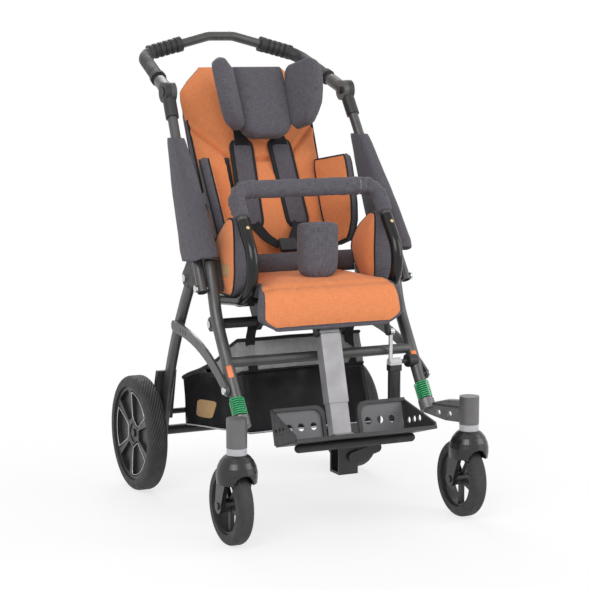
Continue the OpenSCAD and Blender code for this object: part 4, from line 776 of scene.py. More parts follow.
def make_pad(name, size, place, body, slot, materials, cell=0.006, crown=0.004, back_crown=0.004,
             channels=(), reach=0.035, cap=0.006, wrinkle=0.0008, seed=0.0, wall_bow=0.004,
             band=None, plain_walls=9.0, puckers=(), ridge=0.0):
    """A stuffed pad: front cloth, walls and back cloth, filled by pressure between its seams.

    size: half width, length and thickness; band: from this v on, the outer row of the front is bound
    in the wall's cloth; plain_walls: from this v on, the walls are of the front's cloth; puckers:
    (v, reach, height, rate) of gathered lines; ridge: height of the pleats beside a channel."""
    bm = flat_pad(size, cell, channels)
    lay_cloth(bm, size, cell, band, plain_walls)
    pins = crown_pad(bm, size, crown, back_crown, channels, reach, wall_bow)
    obj = piece(name, bm, body, slot, *materials)
    obj.vertex_groups.new(name="seam").add(pins, 1.0, "REPLACE")
    inflate(obj, cap)
    for vert in obj.data.vertices:
        u, v, w = vert.co
        d = rim_distance(u, v, size)
        fold = noise.noise(Vector((u * 28, v * 28, seed))) + 0.6 * noise.noise(Vector((u * 9, v * 70, seed)))
        if w > -size[2] / 2:
            if channels:
                near = channel_distance(u, v, channels)
                w += ridge * (bell(near - PLEAT_AT, PLEAT_WIDE) - bell(near, GROOVE_WIDE))
                w += 1.2 * wrinkle * noise.noise(Vector((u * 60, v * 60, seed + 1))) * bell(near, 0.025)
            for line, wide, tall, rate in puckers:
                w += tall * noise.noise(Vector((u * rate, v * 9, seed + 2))) * bell(v - line, wide)
        w += wrinkle * fold * bell(max(d, 0) - 0.012, 0.03)
        vert.co = place(u, v, w)
    obj.vertex_groups.clear()
    obj.data.update()
    return obj


def rim_path(size, w, place, cell=0.008):
    """Points along a pad's rim, in place."""
    half, length = size[:2]
    corners = [Vector(p) for p in ((-half, 0), (half, 0), (half, length), (-half, length))]
    points = []
    for k, a in enumerate(corners):
        b = corners[(k + 1) % 4]
        count = max(2, round((b - a).length / cell))
        points += [place(*a.lerp(b, i / count), w) for i in range(count)]
    return points


def seam_cords(name, size, place, body, radius):
    """Piping in both seams of a boxed pad, on both sides of the buggy."""
    for k, w in enumerate((0, -size[2])):
        cord = cord_of("%s_cord_left_%d" % (name, k), rim_path(size, w, place, 0.006), radius, body,
                       "grey_fabric", binding_cloth, closed=True)
        mirrored(cord, "%s_cord_right_%d" % (name, k), body)


print("pad maker ready")

# %% [markdown]
# ## Seat pad
# The seat cushion runs from the back hinge to the front edge, where it bends down into a flap with cut
# corners. One flat pad follows a path in Y and Z; its width and thickness come from tables.

# %% Seat pad
SEAT_LINE = smooth_path([Vector((0, y, z)) for y, z in (
    (0.008, 0.531), (-0.050, 0.533), (-0.120, 0.535), (-0.182, 0.535), (-0.210, 0.531), (-0.227, 0.516),
    (-0.234, 0.492), (-0.236, 0.472), (-0.236, 0.456))], 160)
SEAT_LENGTH = path_length(SEAT_LINE)
SEAT_SIZE = (0.166, SEAT_LENGTH, 0.030)
SEAT_WIDTH = [(0, 0.80), (0.04, 0.86), (0.12, 0.88), (0.56, 0.88), (0.62, 0.92), (0.70, 1.0), (0.78, 1.05),
              (0.86, 1.075), (0.925, 1.08), (0.96, 0.98), (1.0, 0.83)]
SEAT_DEPTH = [(0, 0.8), (0.1, 1.0), (0.60, 1.0), (0.70, 0.88), (0.85, 0.6), (1.0, 0.5)]
CREST = 0.216


def seat_place(u, v, w):
    t = clamp(v / SEAT_LENGTH)
    k = t * (len(SEAT_LINE) - 1)
    i = min(int(k), len(SEAT_LINE) - 2)
    at = SEAT_LINE[i].lerp(SEAT_LINE[i + 1], k - i)
    way = (SEAT_LINE[min(i + 4, len(SEAT_LINE) - 1)] - SEAT_LINE[max(i - 3, 0)]).normalized()
    over = Vector((0, way.z, -way.y))
    past = v - t * SEAT_LENGTH
    out = at + over * ((w + SEAT_SIZE[2] / 2) * value_at(SEAT_DEPTH, t)) + way * past
    out.x = u * value_at(SEAT_WIDTH, t)
    return out


seat = make_pad("seat_cushion", SEAT_SIZE, seat_place, "seat", "orange_fabric",
                (orange_cloth, denim_cloth, lining_cloth), cell=0.0065, crown=0.010, back_crown=0.002,
                channels=[((-SEAT_SIZE[0], CREST), (SEAT_SIZE[0], CREST))], reach=0.05, band=CREST + 0.004,
                puckers=[(CREST, 0.026, 0.0075, 42), (SEAT_LENGTH - 0.010, 0.030, 0.0050, 48)], ridge=0.0022)
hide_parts("seat_pad")
for name, w, bead in (("seat_binding", 0, 0.0036), ("seat_binding_low", -SEAT_SIZE[2], 0.003)):
    cord_of(name, rim_path(SEAT_SIZE, w, seat_place), bead, "seat", "grey_fabric", denim_cloth, closed=True)
print("seat length", round(SEAT_LENGTH, 3))

# %% [markdown]
# ## Back pad
# The back leans on a hinged shell. Its pad is broad at the shoulders and cut off at the top corners,
# with one seam across, two slanting seams that run from the sides to the straps and two upright seams
# below. Towards the top its rear rim is drawn forward, so the upper edge is thin.

# %% Back pad
RECLINE = math.radians(25.2)
HINGE_Y, HINGE_Z = 0.048, 0.540
BACK_SIZE = (0.170, 0.528, 0.028)
BACK_HALF, BACK_LENGTH, BACK_THICK = BACK_SIZE
BACK_FOOT, BACK_AHEAD = 0.018, -0.005
BACK_WIDTH = [(0, 0.80), (0.08, 0.845), (0.13, 0.86), (0.18, 0.94), (0.4, 0.955), (0.55, 0.965),
              (0.65, 0.975), (0.75, 0.985), (0.84, 1.0), (0.885, 0.985), (0.94, 0.84), (1.0, 0.64)]
BACK_THIN = [(0, 1.0), (0.55, 1.0), (0.74, 0.36), (1.0, 0.30)]
THIN_RIM = 0.045
DARK_WALL = 0.39
SEAM_X, SEAM_FOOT, SEAM_ACROSS, SEAM_TOP, SEAM_SIDE = 0.086, 0.03, 0.279, 0.285, 0.372


def back_frame(x, y, h):
    """A point of the back, from across, behind and up along it."""
    return Vector((x, HINGE_Y + y * math.cos(RECLINE) + h * math.sin(RECLINE),
                   HINGE_Z - y * math.sin(RECLINE) + h * math.cos(RECLINE)))


def back_place(u, v, w):
    t = clamp(v / BACK_LENGTH)
    if w < 0:
        thin = value_at(BACK_THIN, t)
        w *= thin + (1 - thin) * ease(min(BACK_HALF - abs(u), BACK_LENGTH - v) / THIN_RIM)
    return back_frame(u * value_at(BACK_WIDTH, t), BACK_AHEAD - w, BACK_FOOT + v)


BACK_SEAMS = [((-BACK_HALF, SEAM_SIDE), (-SEAM_X, SEAM_TOP)), ((BACK_HALF, SEAM_SIDE), (SEAM_X, SEAM_TOP)),
              ((-SEAM_X, SEAM_ACROSS), (SEAM_X, SEAM_ACROSS)), ((-SEAM_X, SEAM_TOP), (-SEAM_X, SEAM_FOOT)),
              ((SEAM_X, SEAM_TOP), (SEAM_X, SEAM_FOOT))]
back_pad = make_pad("back_cushion", BACK_SIZE, back_place, "back", "orange_fabric",
                    (orange_cloth, denim_cloth, lining_cloth), crown=0.012, back_crown=0.0,
                    channels=BACK_SEAMS, reach=0.05, plain_walls=DARK_WALL, ridge=0.0040, wrinkle=0.0014)
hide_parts("back_pad")
side_line = [DARK_WALL * k / 48 for k in range(49)]
front_line = [back_place(-BACK_HALF, v, 0) for v in reversed(side_line)]
front_line += [back_place(-BACK_HALF + 2 * BACK_HALF * k / 40, 0, 0) for k in range(1, 40)]
front_line += [back_place(BACK_HALF, v, 0) for v in side_line]
cord_of("back_binding", front_line, 0.0028, "back", "grey_fabric", binding_cloth)
cord_of("back_binding_rear", rim_path(BACK_SIZE, -BACK_THICK, back_place), 0.003, "back", "grey_fabric",
        binding_cloth, closed=True)
print("back pad faces", len(back_pad.data.polygons))

# %% [markdown]
# ## Side pads
# Two lateral pads hold the trunk and two hip pads hold the hips. Each is a boxed pad: an orange face
# with a dark wall between two corded seams. One side is made and mirrored.

# %% Lateral pads
LATERAL_SIZE = (0.050, 0.218, 0.021)
LATERAL_TURN = math.radians(23.6)
LATERAL_AT = (0.158, -0.066, 0.057)
LATERAL_SPLAY, LATERAL_LEAN = 0.013, 0.010
LATERAL_WIDTH = [(0, 0.40), (0.08, 0.62), (0.2, 0.84), (0.4, 0.97), (0.6, 1.0), (0.9, 1.0), (0.97, 0.96),
                 (1.0, 0.90)]


def lateral_place(u, v, w):
    """The pad's face looks inwards; u runs forward and v up the back."""
    t = clamp(v / LATERAL_SIZE[1])
    wide = u * value_at(LATERAL_WIDTH, t)
    inward = w + LATERAL_SIZE[2] / 2
    x = LATERAL_AT[0] + LATERAL_SPLAY * t + wide * math.sin(LATERAL_TURN) - inward * math.cos(LATERAL_TURN)
    y = LATERAL_AT[1] - wide * math.cos(LATERAL_TURN) - inward * math.sin(LATERAL_TURN)
    lean = LATERAL_LEAN * (u / LATERAL_SIZE[0]) * t
    return back_frame(x, y, LATERAL_AT[2] + v - lean)


lateral = make_pad("lateral_left", LATERAL_SIZE, lateral_place, "back", "orange_fabric",
                   (orange_cloth, denim_cloth, denim_cloth), reach=0.025, cap=0.003, seed=3.0)
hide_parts("lateral_pads")
mirrored(lateral, "lateral_right", "back")
seam_cords("lateral", LATERAL_SIZE, lateral_place, "back", 0.0022)
print("lateral pads made")

# %% [markdown]
# A hip pad stands beside the seat. Its front and rear edges come from two tables, and the lower rear of
# its inner face is cut away. A bare patch lies on the outside of the right one, where rays from the
# side find the cloth.

# %% Hip pads
HIP_SIZE = (0.058, 0.178, 0.042)
HIP_HALF, HIP_LENGTH, HIP_THICK = HIP_SIZE
HIP_FOOT, HIP_X = 0.5235, 0.183
HIP_FRONT = [(0, -0.124), (0.04, -0.134), (0.12, -0.142), (0.3, -0.147), (0.75, -0.146), (0.92, -0.142),
             (0.98, -0.138), (1.0, -0.133)]
HIP_REAR = [(0, -0.052), (0.05, -0.036), (0.15, -0.027), (0.3, -0.024), (0.45, -0.026), (0.6, -0.033),
            (0.72, -0.048), (0.82, -0.068), (0.92, -0.095), (0.98, -0.112), (1.0, -0.119)]
HIP_CUT, HIP_BOW = 0.058, 0.005
PATCH_U, PATCH_V = 0.004, 0.058
RAY_FROM = 0.4


def hip_place(u, v, w):
    """The pad stands beside the seat; u runs forward, v up and w inwards."""
    t = clamp(v / HIP_LENGTH)
    front, rear = value_at(HIP_FRONT, t), value_at(HIP_REAR, t)
    bow = 0.0
    if w > -HIP_THICK / 2:
        rear -= HIP_CUT * max(0.0, 1 - t / 0.50) ** 1.2
        bow = HIP_BOW * math.sin(math.pi * t)
    y = (front + rear) / 2 + (u / HIP_HALF) * (front - rear) / 2
    return Vector((HIP_X - w - HIP_THICK / 2 - bow, y, HIP_FOOT + v))


hip = make_pad("hip_left", HIP_SIZE, hip_place, "seat", "orange_fabric",
               (orange_cloth, denim_cloth, orange_cloth), crown=0.005, reach=0.03, cap=0.003, seed=5.0,
               wall_bow=0.003)
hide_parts("hip_pads")
mirrored(hip, "hip_right", "seat")
seam_cords("hip", HIP_SIZE, hip_place, "seat", 0.002)
hip_skin = skin_of(hip)


def on_hip(a, b, lift):
    """A place on the outer face of the right hip pad, found on the left one and mirrored."""
    spot = hip_place(PATCH_U + a, PATCH_V + b, -HIP_THICK)
    hit = hip_skin.ray_cast(Vector((RAY_FROM, spot.y, spot.z)), Vector((-1, 0, 0)))[0]
    return Vector((-hit.x - 0.0006 - lift, spot.y, spot.z))


sewn_patch("hip_patch", on_hip, 0.070, 0.030, 0.006, "seat", "orange_fabric", patch_leather)
print("side pads made")

# %% [markdown]
# ## Headrest
# A centre pad and two wings that stand out to the sides, all in the dark cloth. They share one frame
# with the back but ride on the headrest, which slides up.

# %% Headrest
HEAD_SIZE = (0.069, 0.178, 0.030)
HEAD_Y, HEAD_FOOT = -0.082, 0.329
HEAD_WIDTH = [(0, 0.46), (0.03, 0.70), (0.08, 0.84), (0.16, 0.93), (0.3, 0.99), (0.6, 1.0), (0.9, 0.97),
              (0.97, 0.94), (1.0, 0.87)]
WING_SIZE = (0.047, 0.157, 0.026)
WING_TURN = math.radians(37)
WING_AT = (0.1003, -0.120, 0.347)
WING_INNER = [(0, -0.034), (0.03, -0.041), (0.14, -0.043), (0.5, -0.041), (0.66, -0.039), (0.79, -0.037),
              (0.90, -0.034), (0.96, -0.028), (1.0, -0.019)]
WING_OUTER = [(0, 0.000), (0.04, 0.010), (0.14, 0.024), (0.28, 0.039), (0.5, 0.049), (0.66, 0.054),
              (0.79, 0.055), (0.90, 0.052), (0.96, 0.046), (1.0, 0.036)]


def head_place(u, v, w):
    wide = u * value_at(HEAD_WIDTH, clamp(v / HEAD_SIZE[1]))
    return back_frame(wide, HEAD_Y - w - HEAD_SIZE[2] / 2, HEAD_FOOT + v)


def wing_place(u, v, w):
    t = clamp(v / WING_SIZE[1])
    inner, outer = value_at(WING_INNER, t), value_at(WING_OUTER, t)
    wide = (inner + outer) / 2 + (u / WING_SIZE[0]) * (outer - inner) / 2
    inward = w + WING_SIZE[2] / 2
    x = WING_AT[0] + wide * math.sin(WING_TURN) - inward * math.cos(WING_TURN)
    y = WING_AT[1] - wide * math.cos(WING_TURN) - inward * math.sin(WING_TURN)
    return back_frame(x, y, WING_AT[2] + v)


head = make_pad("headrest_centre", HEAD_SIZE, head_place, "headrest", "grey_fabric", (denim_cloth,) * 3,
                crown=0.009, back_crown=0.008, reach=0.04, cap=0.004, seed=7.0)
wing = make_pad("headrest_wing_left", WING_SIZE, wing_place, "headrest", "grey_fabric", (denim_cloth,) * 3,
                crown=0.008, back_crown=0.007, reach=0.03, cap=0.003, seed=9.0)
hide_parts("headrest")
mirrored(wing, "headrest_wing_right", "headrest")
print("headrest made")

# %% [markdown]
# ## Pommel, sleeves and bar cover
# These are lofts. The pommel is a rounded block on a stem, gathered at its foot: a sine round the ring
# makes the pleats, and they die away further up.

# %% Pommel
POMMEL_Y, POMMEL_FOOT, POMMEL_H = -0.162, 0.5590, 0.128
POMMEL_WIDE, POMMEL_DEEP = 0.0485, 0.0275
POMMEL_SHAPE = [(0, 0.42), (0.02, 0.58), (0.06, 0.73), (0.13, 0.88), (0.22, 0.95), (0.4, 0.985), (0.7, 0.99),
                (0.9, 0.985), (0.955, 0.96), (0.985, 0.89), (1.0, 0.74)]
POMMEL_PLEATS = 16
STEM_RADIUS = 0.006


def ring_points(n):
    """Directions round a circle, as cosine and sine."""
    return [(math.cos(2 * math.pi * j / n), math.sin(2 * math.pi * j / n)) for j in range(n)]


pommel_bm = bmesh.new()
pommel_rings = []
for i in range(65):
    t = i / 64
    grow = value_at(POMMEL_SHAPE, t)
    ring = []
    for j, (x, y) in enumerate(oval(POMMEL_WIDE, POMMEL_DEEP, 0.62, 96)):
        pleat = 1 + 0.085 * math.sin(j * 2 * math.pi * POMMEL_PLEATS / 96 + 3 * t) * bell(t, 0.14)
        pleat += 0.012 * noise.noise(Vector((x * 60, y * 60, t * 9)))
        ring.append(Vector((x * grow * pleat, POMMEL_Y + y * grow * pleat, POMMEL_FOOT + POMMEL_H * t)))
    pommel_rings.append(ring)
loft(pommel_bm, pommel_rings)
stem_rings = [[Vector((STEM_RADIUS * c, POMMEL_Y + STEM_RADIUS * s, z)) for c, s in ring_points(24)]
              for z in (0.465, 0.50, 0.54, 0.568)]
loft(pommel_bm, stem_rings, material=1)
pommel = piece("pommel_pad", pommel_bm, "pommel", "grey_fabric", denim_cloth, satin_black_metal)
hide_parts("pommel")
print("pommel rings", len(pommel_rings))

# %% [markdown]
# A sleeve wraps each upper tube. It is deep at its foot, where its hem hangs lower on the outside, and
# narrows towards the handle joint. Its inner wall follows the tube.

# %% Tube sleeves
UPPER_FOOT = Vector((0.265, -0.1008, 0.541))
HANDLE_JOINT = Vector((0.238, 0.165, 0.981))
UPPER_WAY = (HANDLE_JOINT - UPPER_FOOT).normalized()
SLEEVE_LOW, SLEEVE_TOP, SLEEVE_HEM = 0.616, 0.875, 0.020
SLEEVE_OFF = Vector((-0.008, -0.004, 0))
SLEEVE_BORE = 0.0125
SLEEVE_WIDE = [(0, 0.0270), (0.05, 0.0285), (0.5, 0.0255), (0.92, 0.0190), (1.0, 0.0165)]
SLEEVE_DEEP = [(0, 0.074), (0.06, 0.078), (0.3, 0.069), (0.6, 0.053), (0.9, 0.035), (0.97, 0.031),
               (1.0, 0.027)]


def upper_at(z):
    return UPPER_FOOT + UPPER_WAY * ((z - UPPER_FOOT.z) / UPPER_WAY.z)


def sleeve_rings():
    rings = []
    for i in range(61):
        t = i / 60
        z = SLEEVE_LOW + (SLEEVE_TOP - SLEEVE_LOW) * t
        centre = upper_at(z) + SLEEVE_OFF * (1 - t)
        ring = []
        for j, (x, y) in enumerate(oval(value_at(SLEEVE_WIDE, t), value_at(SLEEVE_DEEP, t), 0.72, 64)):
            crease = 0.0013 * noise.noise(Vector((x * 40, y * 22, z * 26)))
            crease += 0.0010 * noise.noise(Vector((j * 0.4, z * 9, 4)))
            out = Vector((x, y, 0)).normalized() * crease
            hang = -SLEEVE_HEM * max(0.0, math.cos(2 * math.pi * (j - 6) / 64)) * max(0.0, 1 - t / 0.15)
            ring.append(centre + Vector((x, y, hang)) + out)
        rings.append(ring)
    inner = []
    for z in (SLEEVE_TOP, SLEEVE_TOP - 0.012, SLEEVE_LOW + 0.014, SLEEVE_LOW):
        ring = []
        for c, s in ring_points(64):
            out = Vector((c, s, 0))
            ring.append(upper_at(z) + out * (SLEEVE_BORE / math.sqrt(1 - out.dot(UPPER_WAY) ** 2)))
        inner.append(ring)
    return rings + inner + [rings[0]]


sleeve_bm = bmesh.new()
loft(sleeve_bm, sleeve_rings(), False, False)
bmesh.ops.remove_doubles(sleeve_bm, verts=sleeve_bm.verts, dist=SAME)
sleeve = piece("sleeve_left", sleeve_bm, "frame", "grey_fabric", denim_cloth)
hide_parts("tube_covers")
mirrored(sleeve, "sleeve_right", "frame")
print("sleeve faces", len(sleeve.data.polygons))

# %% [markdown]
# The bar cover is drawn over the grab bar, round both elbows and down to the arms. It gathers at its
# ends and creases at the elbows.

# %% Grab bar cover
ARM_TOP = Vector((0.185, -0.152, 0.696))
ARM_WAY = Vector((0, 0.6054, 0.7959)).normalized()
BAR_Z = 0.764
BAR_CORNER = ARM_TOP + ARM_WAY * ((BAR_Z - ARM_TOP.z) / ARM_WAY.z)
BAR_BEND = 0.036
COVER_STEP = 0.003
ARM_RADIUS, BAR_SWELL = 0.0188, 0.0022
STITCH_X, STITCH_RADIUS = 0.134, 0.0212


def rounded(points, bend, steps=14):
    """A path with its corners rounded by arcs of one radius."""
    path = [points[0]]
    for i in range(1, len(points) - 1):
        a, b = (points[i - 1] - points[i]).normalized(), (points[i + 1] - points[i]).normalized()
        half = a.angle(b) / 2
        cut = bend / math.tan(half)
        centre = points[i] + (a + b).normalized() * (bend / math.sin(half))
        start, end = points[i] + a * cut - centre, points[i] + b * cut - centre
        for k in range(steps + 1):
            path.append(centre + start.slerp(end, k / steps).normalized() * bend)
    return path + [points[-1]]


def even_path(points, step):
    """Points a fixed step apart along a polyline."""
    out = [points[0].copy()]
    left = step
    for a, b in zip(points, points[1:]):
        span = (b - a).length
        at = left
        while at <= span:
            out.append(a.lerp(b, at / span))
            at += step
        left = at - span
    return out


flip_x = Matrix.Diagonal((-1, 1, 1))
cover_start = ARM_TOP + ARM_WAY * 0.010
cover_corners = [cover_start, BAR_CORNER, flip_x @ BAR_CORNER, flip_x @ cover_start]
cover_path = even_path(rounded(cover_corners, BAR_BEND), COVER_STEP)
ELBOW = (BAR_CORNER - cover_start).length - 0.012


def cover_radius(t):
    edge = min(t, 1 - t) * len(cover_path) * COVER_STEP
    gather = 0.0012 * math.sin(edge * 520) * bell(edge, 0.05)
    gather += 0.0012 * math.sin(edge * 400) * bell(edge - ELBOW - 0.02, 0.035)
    return ARM_RADIUS + BAR_SWELL * clamp((edge - ELBOW) / 0.04) - 0.003 * bell(edge, 0.006) + gather


cover_bm = bmesh.new()
cover_rings = tube_rings(cover_path, cover_radius, 48)
for i, ring in enumerate(cover_rings):
    edge = min(i, len(cover_rings) - 1 - i) * COVER_STEP
    crease = 0.0012 + 0.0028 * bell(edge - ELBOW, 0.04)
    for point in ring:
        point += (point - cover_path[i]).normalized() * crease * noise.noise(point * 75)
loft(cover_bm, cover_rings)
bar_cover = piece("bar_cover", cover_bm, "grab", "grey_fabric", denim_cloth)
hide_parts("grab_bar_cover")
stitch_ring = [Vector((STITCH_X, BAR_CORNER.y + STITCH_RADIUS * c, BAR_Z + STITCH_RADIUS * s))
               for c, s in ring_points(48)]
cord_of("bar_stitch", stitch_ring, 0.0005, "grab", "grey_fabric", stitch_white, closed=True)
print("cover rings", len(cover_rings))

# %% [markdown]
# ## Harness and lap belt
# Two shoulder pads lie on the back pad, each with a bound edge. They stand a little to one side.

# %% Shoulder pads
STRAP_SIZE = (0.0285, 0.222, 0.007)
STRAP_SHIFT, STRAP_X, STRAP_SLANT = 0.006, 0.051, 0.010
STRAP_Y, STRAP_FOOT = -0.0175, 0.120
STRAP_WIDTH = [(0, 0.72), (0.02, 0.88), (0.05, 0.97), (0.1, 1.0), (0.92, 1.0), (0.97, 0.94), (0.99, 0.84),
               (1.0, 0.70)]


def strap_place(side):
    def place(u, v, w):
        t = clamp(v / STRAP_SIZE[1])
        x = STRAP_SHIFT + side * (STRAP_X + STRAP_SLANT * (1 - t)) + u * value_at(STRAP_WIDTH, t)
        return back_frame(x, STRAP_Y - w - STRAP_SIZE[2], STRAP_FOOT + v)
    return place


for side in (-1, 1):
    place = strap_place(side)
    pad = make_pad("strap_pad_" + side_name(side), STRAP_SIZE, place, "back", "grey_fabric",
                   (denim_cloth, binding_cloth, binding_cloth), cell=0.0055, back_crown=0.0, reach=0.014,
                   cap=0.0015, wrinkle=0.0004, seed=11.0 + side, band=-1.0)
    if side > 0:
        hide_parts("shoulder_harness")
    cord_of("strap_binding_" + side_name(side), rim_path(STRAP_SIZE, -0.002, place, 0.005), 0.0034, "back",
            "grey_fabric", binding_cloth, closed=True)
print("shoulder pads made")

# %% [markdown]
# Black webbing leaves each shoulder pad at both ends, as flat strips with thickness. A short strip beside
# each pad stands for a strap slot.

# %% Webbing
WEB_THICK, WEB_WIDE, WEB_TAPER, WEB_MEAN, WEB_NARROW = 0.003, 0.044, 0.014, 0.0332, 0.026
UPPER_WEB = ((-0.0245, 0.318), (-0.0285, 0.336), (-0.0255, 0.352), (-0.021, 0.39), (-0.019, 0.42))
SLOT_X, SLOT_Y = 0.089, -0.016


def web_width(t):
    return WEB_WIDE - WEB_TAPER * min(1.0, 2.2 * t)


for side in (-1, 1):
    upper = smooth_path([back_frame(STRAP_SHIFT + side * STRAP_X, y, h) for y, h in UPPER_WEB], 20)
    web = strip("webbing_up_" + side_name(side), upper, web_width, WEB_THICK, (1, 0, 0), "back",
                "grey_fabric", webbing_cloth)
    slot_line = [back_frame(side * SLOT_X, SLOT_Y, h) for h in (0.20, 0.235, 0.27, 0.302)]
    strip("strap_slot_" + side_name(side), slot_line, 0.012, 0.004, (1, 0, 0), "back", "grey_fabric",
          webbing_cloth)
    lower = smooth_path([back_frame(STRAP_SHIFT + side * 0.061, -0.0225, 0.135),
                         back_frame(STRAP_SHIFT + side * 0.050, -0.032, 0.108),
                         Vector((side * 0.034, 0.036, 0.632)), Vector((side * 0.016, 0.006, 0.618))], 20)
    web = strip("webbing_low_" + side_name(side), lower, WEB_NARROW, WEB_THICK, (1, 0.35 * side, 0), "back",
                "grey_fabric", webbing_cloth)

# %% [markdown]
# The lap belt is a long pad across the seat. The buckle above it, where the lower webbing meets, is a
# cube with rounded edges and rides on the back.

# %% Lap belt
BELT_SIZE = (0.0215, 0.314, 0.010)
BELT_Y, BELT_Z = -0.036, 0.5800
BUCKLE_AT, BUCKLE_SIZE = (0, -0.002, 0.619), (0.046, 0.016, 0.036, 1)
BUCKLE_TURN = math.radians(-38)


def belt_place(u, v, w):
    return Vector((v - BELT_SIZE[1] / 2, BELT_Y - BELT_SIZE[2] / 2 - w, BELT_Z + u))


belt = make_pad("lap_belt_pad", BELT_SIZE, belt_place, "seat", "grey_fabric", (denim_cloth,) * 3, cell=0.0055,
                crown=0.006, back_crown=0.002, reach=0.018, cap=0.002, seed=13.0,
                puckers=[(BELT_SIZE[1] / 2, 0.03, 0.002, 90)])
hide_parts("lap_belt")
buckle_bm = bmesh.new()
bmesh.ops.create_cube(buckle_bm, size=1)
bmesh.ops.transform(buckle_bm, verts=buckle_bm.verts, matrix=Matrix.Translation(BUCKLE_AT)
                    @ Matrix.Rotation(BUCKLE_TURN, 4, "X") @ Matrix.Diagonal(BUCKLE_SIZE))
bmesh.ops.bevel(buckle_bm, geom=list(buckle_bm.edges), offset=0.006, segments=4, profile=0.5, affect="EDGES",
                material=-1)
piece("harness_buckle", buckle_bm, "back", "black_plastic", moulded_black)
print("harness made")

# %% [markdown]
# ## Basket
# The basket is a cloth tub under the seat: solid cloth below, open net above on the front and the
# sides, a bound rim, and straps up to the seat crossbar. It is one shell of extruded rings, pulled in
# between its corners, with a wall thickness from Solidify.

# %% Basket rings
BASKET_REAR_HALF = 0.190
BASKET_FRONT_HALF = 0.160
BASKET_LOW = [Vector((0.186, 0.163)), Vector((-0.134, 0.198))]
BASKET_TOP = [Vector((0.202, 0.280)), Vector((-0.064, 0.408))]
BASKET_STRAP = ((-0.088, 0.335), (-0.071, 0.385), (-0.070, 0.412), (-0.078, 0.432), (-0.083, 0.450))
BASKET_STRAP_X = 0.130
WALL_STEPS = 32
PATCH_Y, PATCH_Z = 0.095, 0.218


def net_from(y):
    """The share of the wall's height where the net starts: low in front, the rim itself at the rear."""
    return 0.66 + 0.31 * ease((y + 0.10) / 0.22)


def basket_corners(ends):
    halves = (BASKET_REAR_HALF, BASKET_FRONT_HALF, -BASKET_FRONT_HALF, -BASKET_REAR_HALF)
    return [Vector((half, *ends[k in (1, 2)])) for k, half in enumerate(halves)]


def basket_ring(share, grow=0.0, net=False):
    """A ring of the tub, as points round the four walls; share runs up the cloth or up the net."""
    points = []
    lows, tops = basket_corners(BASKET_LOW), basket_corners(BASKET_TOP)
    for k in range(4):
        for i in range(WALL_STEPS):
            s = i / WALL_STEPS
            low = lows[k].lerp(lows[(k + 1) % 4], s)
            top = tops[k].lerp(tops[(k + 1) % 4], s)
            start = net_from(low.y)
            t = start + (1 - start) * share if net else start * share
            p = low.lerp(top, t)
            pull = 0.010 * math.sin(math.pi * s) * math.sin(math.pi * min(1, t * 0.9 + 0.05))
            inward = Vector((0, 1 if k == 1 else -1, 0))
            if k % 2 == 0:
                inward = Vector((-math.copysign(1, low.x), 0, 0))
            crease = 0.0075 * noise.noise(Vector((p.x * 13, p.y * 13, p.z * 16)))
            crease += 0.002 * noise.noise(Vector((p.x * 34, p.y * 34, p.z * 30)))
            p += inward * (pull + crease - grow)
            if k % 2 == 0:
                p.z -= 0.012 * math.sin(math.pi * s) ** 2 * t
            points.append(p)
    return points


print("points in a basket ring", len(basket_ring(0)))

# %% [markdown]
# The tub has a sagging floor below its walls. The net is the same loft further up, turned into threads
# by Wireframe. Cords bind the rim and the edges, and two straps hold the basket.

# %% Basket cloth
wall_rings = [basket_ring(k / 14) for k in range(15)]
centre = sum(wall_rings[0], Vector()) / len(wall_rings[0])
floor_rings = []
for s in (0.02, 0.3, 0.6, 0.85, 0.97):
    sag = Vector((0, 0, 0.004 * math.sin(math.pi * s)))
    floor_rings.append([centre.lerp(p, s) - sag for p in wall_rings[0]])
basket_bm = bmesh.new()
loft(basket_bm, floor_rings + wall_rings, True, False)
tub = piece("basket_tub", basket_bm, "frame", "basket_fabric", basket_cloth)
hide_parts("basket")
wall = tub.modifiers.new("wall", "SOLIDIFY")
wall.thickness = 0.002
wall.offset = -1
net_bm = bmesh.new()
loft(net_bm, [basket_ring(k / 22, net=True) for k in range(23)], False, False)
net = piece("basket_net", net_bm, "frame", "basket_fabric", net_cloth)
mesh_cut = net.modifiers.new("fine", "SUBSURF")
mesh_cut.subdivision_type = "SIMPLE"
mesh_cut.levels = mesh_cut.render_levels = 1
weave = net.modifiers.new("net", "WIREFRAME")
weave.thickness = 0.0016
weave.use_replace = True
basket_parts = [tub, net]
for name, ring, bead, cloth in (("basket_rim", basket_ring(1.0, net=True), 0.0045, binding_cloth),
                                ("basket_band", basket_ring(1.0, 0.001), 0.0024, binding_cloth),
                                ("basket_piping", basket_ring(0.02, 0.0015), 0.0016, ring_grey)):
    basket_parts.append(cord_of(name, ring, bead, "frame", "basket_fabric", cloth, closed=True))
for side in (-1, 1):
    strap = smooth_path([Vector((side * BASKET_STRAP_X, y, z)) for y, z in BASKET_STRAP], 20)
    basket_parts.append(strip("basket_strap_" + side_name(side), strap, 0.024, 0.0025, (1, 0, 0), "frame",
                              "basket_fabric", webbing_cloth))
print("basket pieces", len(basket_parts))

# %% [markdown]
# A bare patch lies on the right wall, where rays from the side hit the cloth. Each part of the basket then
# gets its own copy of its mesh.

# %% Basket patch
tub_skin = skin_of(tub)


def on_basket(a, b, lift):
    """A place on the right wall, a along it and b up it."""
    y, z = PATCH_Y + a, PATCH_Z + b - 0.10 * a
    hit = tub_skin.ray_cast(Vector((-RAY_FROM, y, z)), Vector((1, 0, 0)))[0]
    return Vector((hit.x - 0.0012 - lift, y, z))


basket_parts.append(sewn_patch("basket_patch", on_basket, 0.092, 0.042, 0.004, "frame", "orange_fabric",
                               patch_leather))
for part in basket_parts:
    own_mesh(part)


print("folding pieces", len(basket_parts))

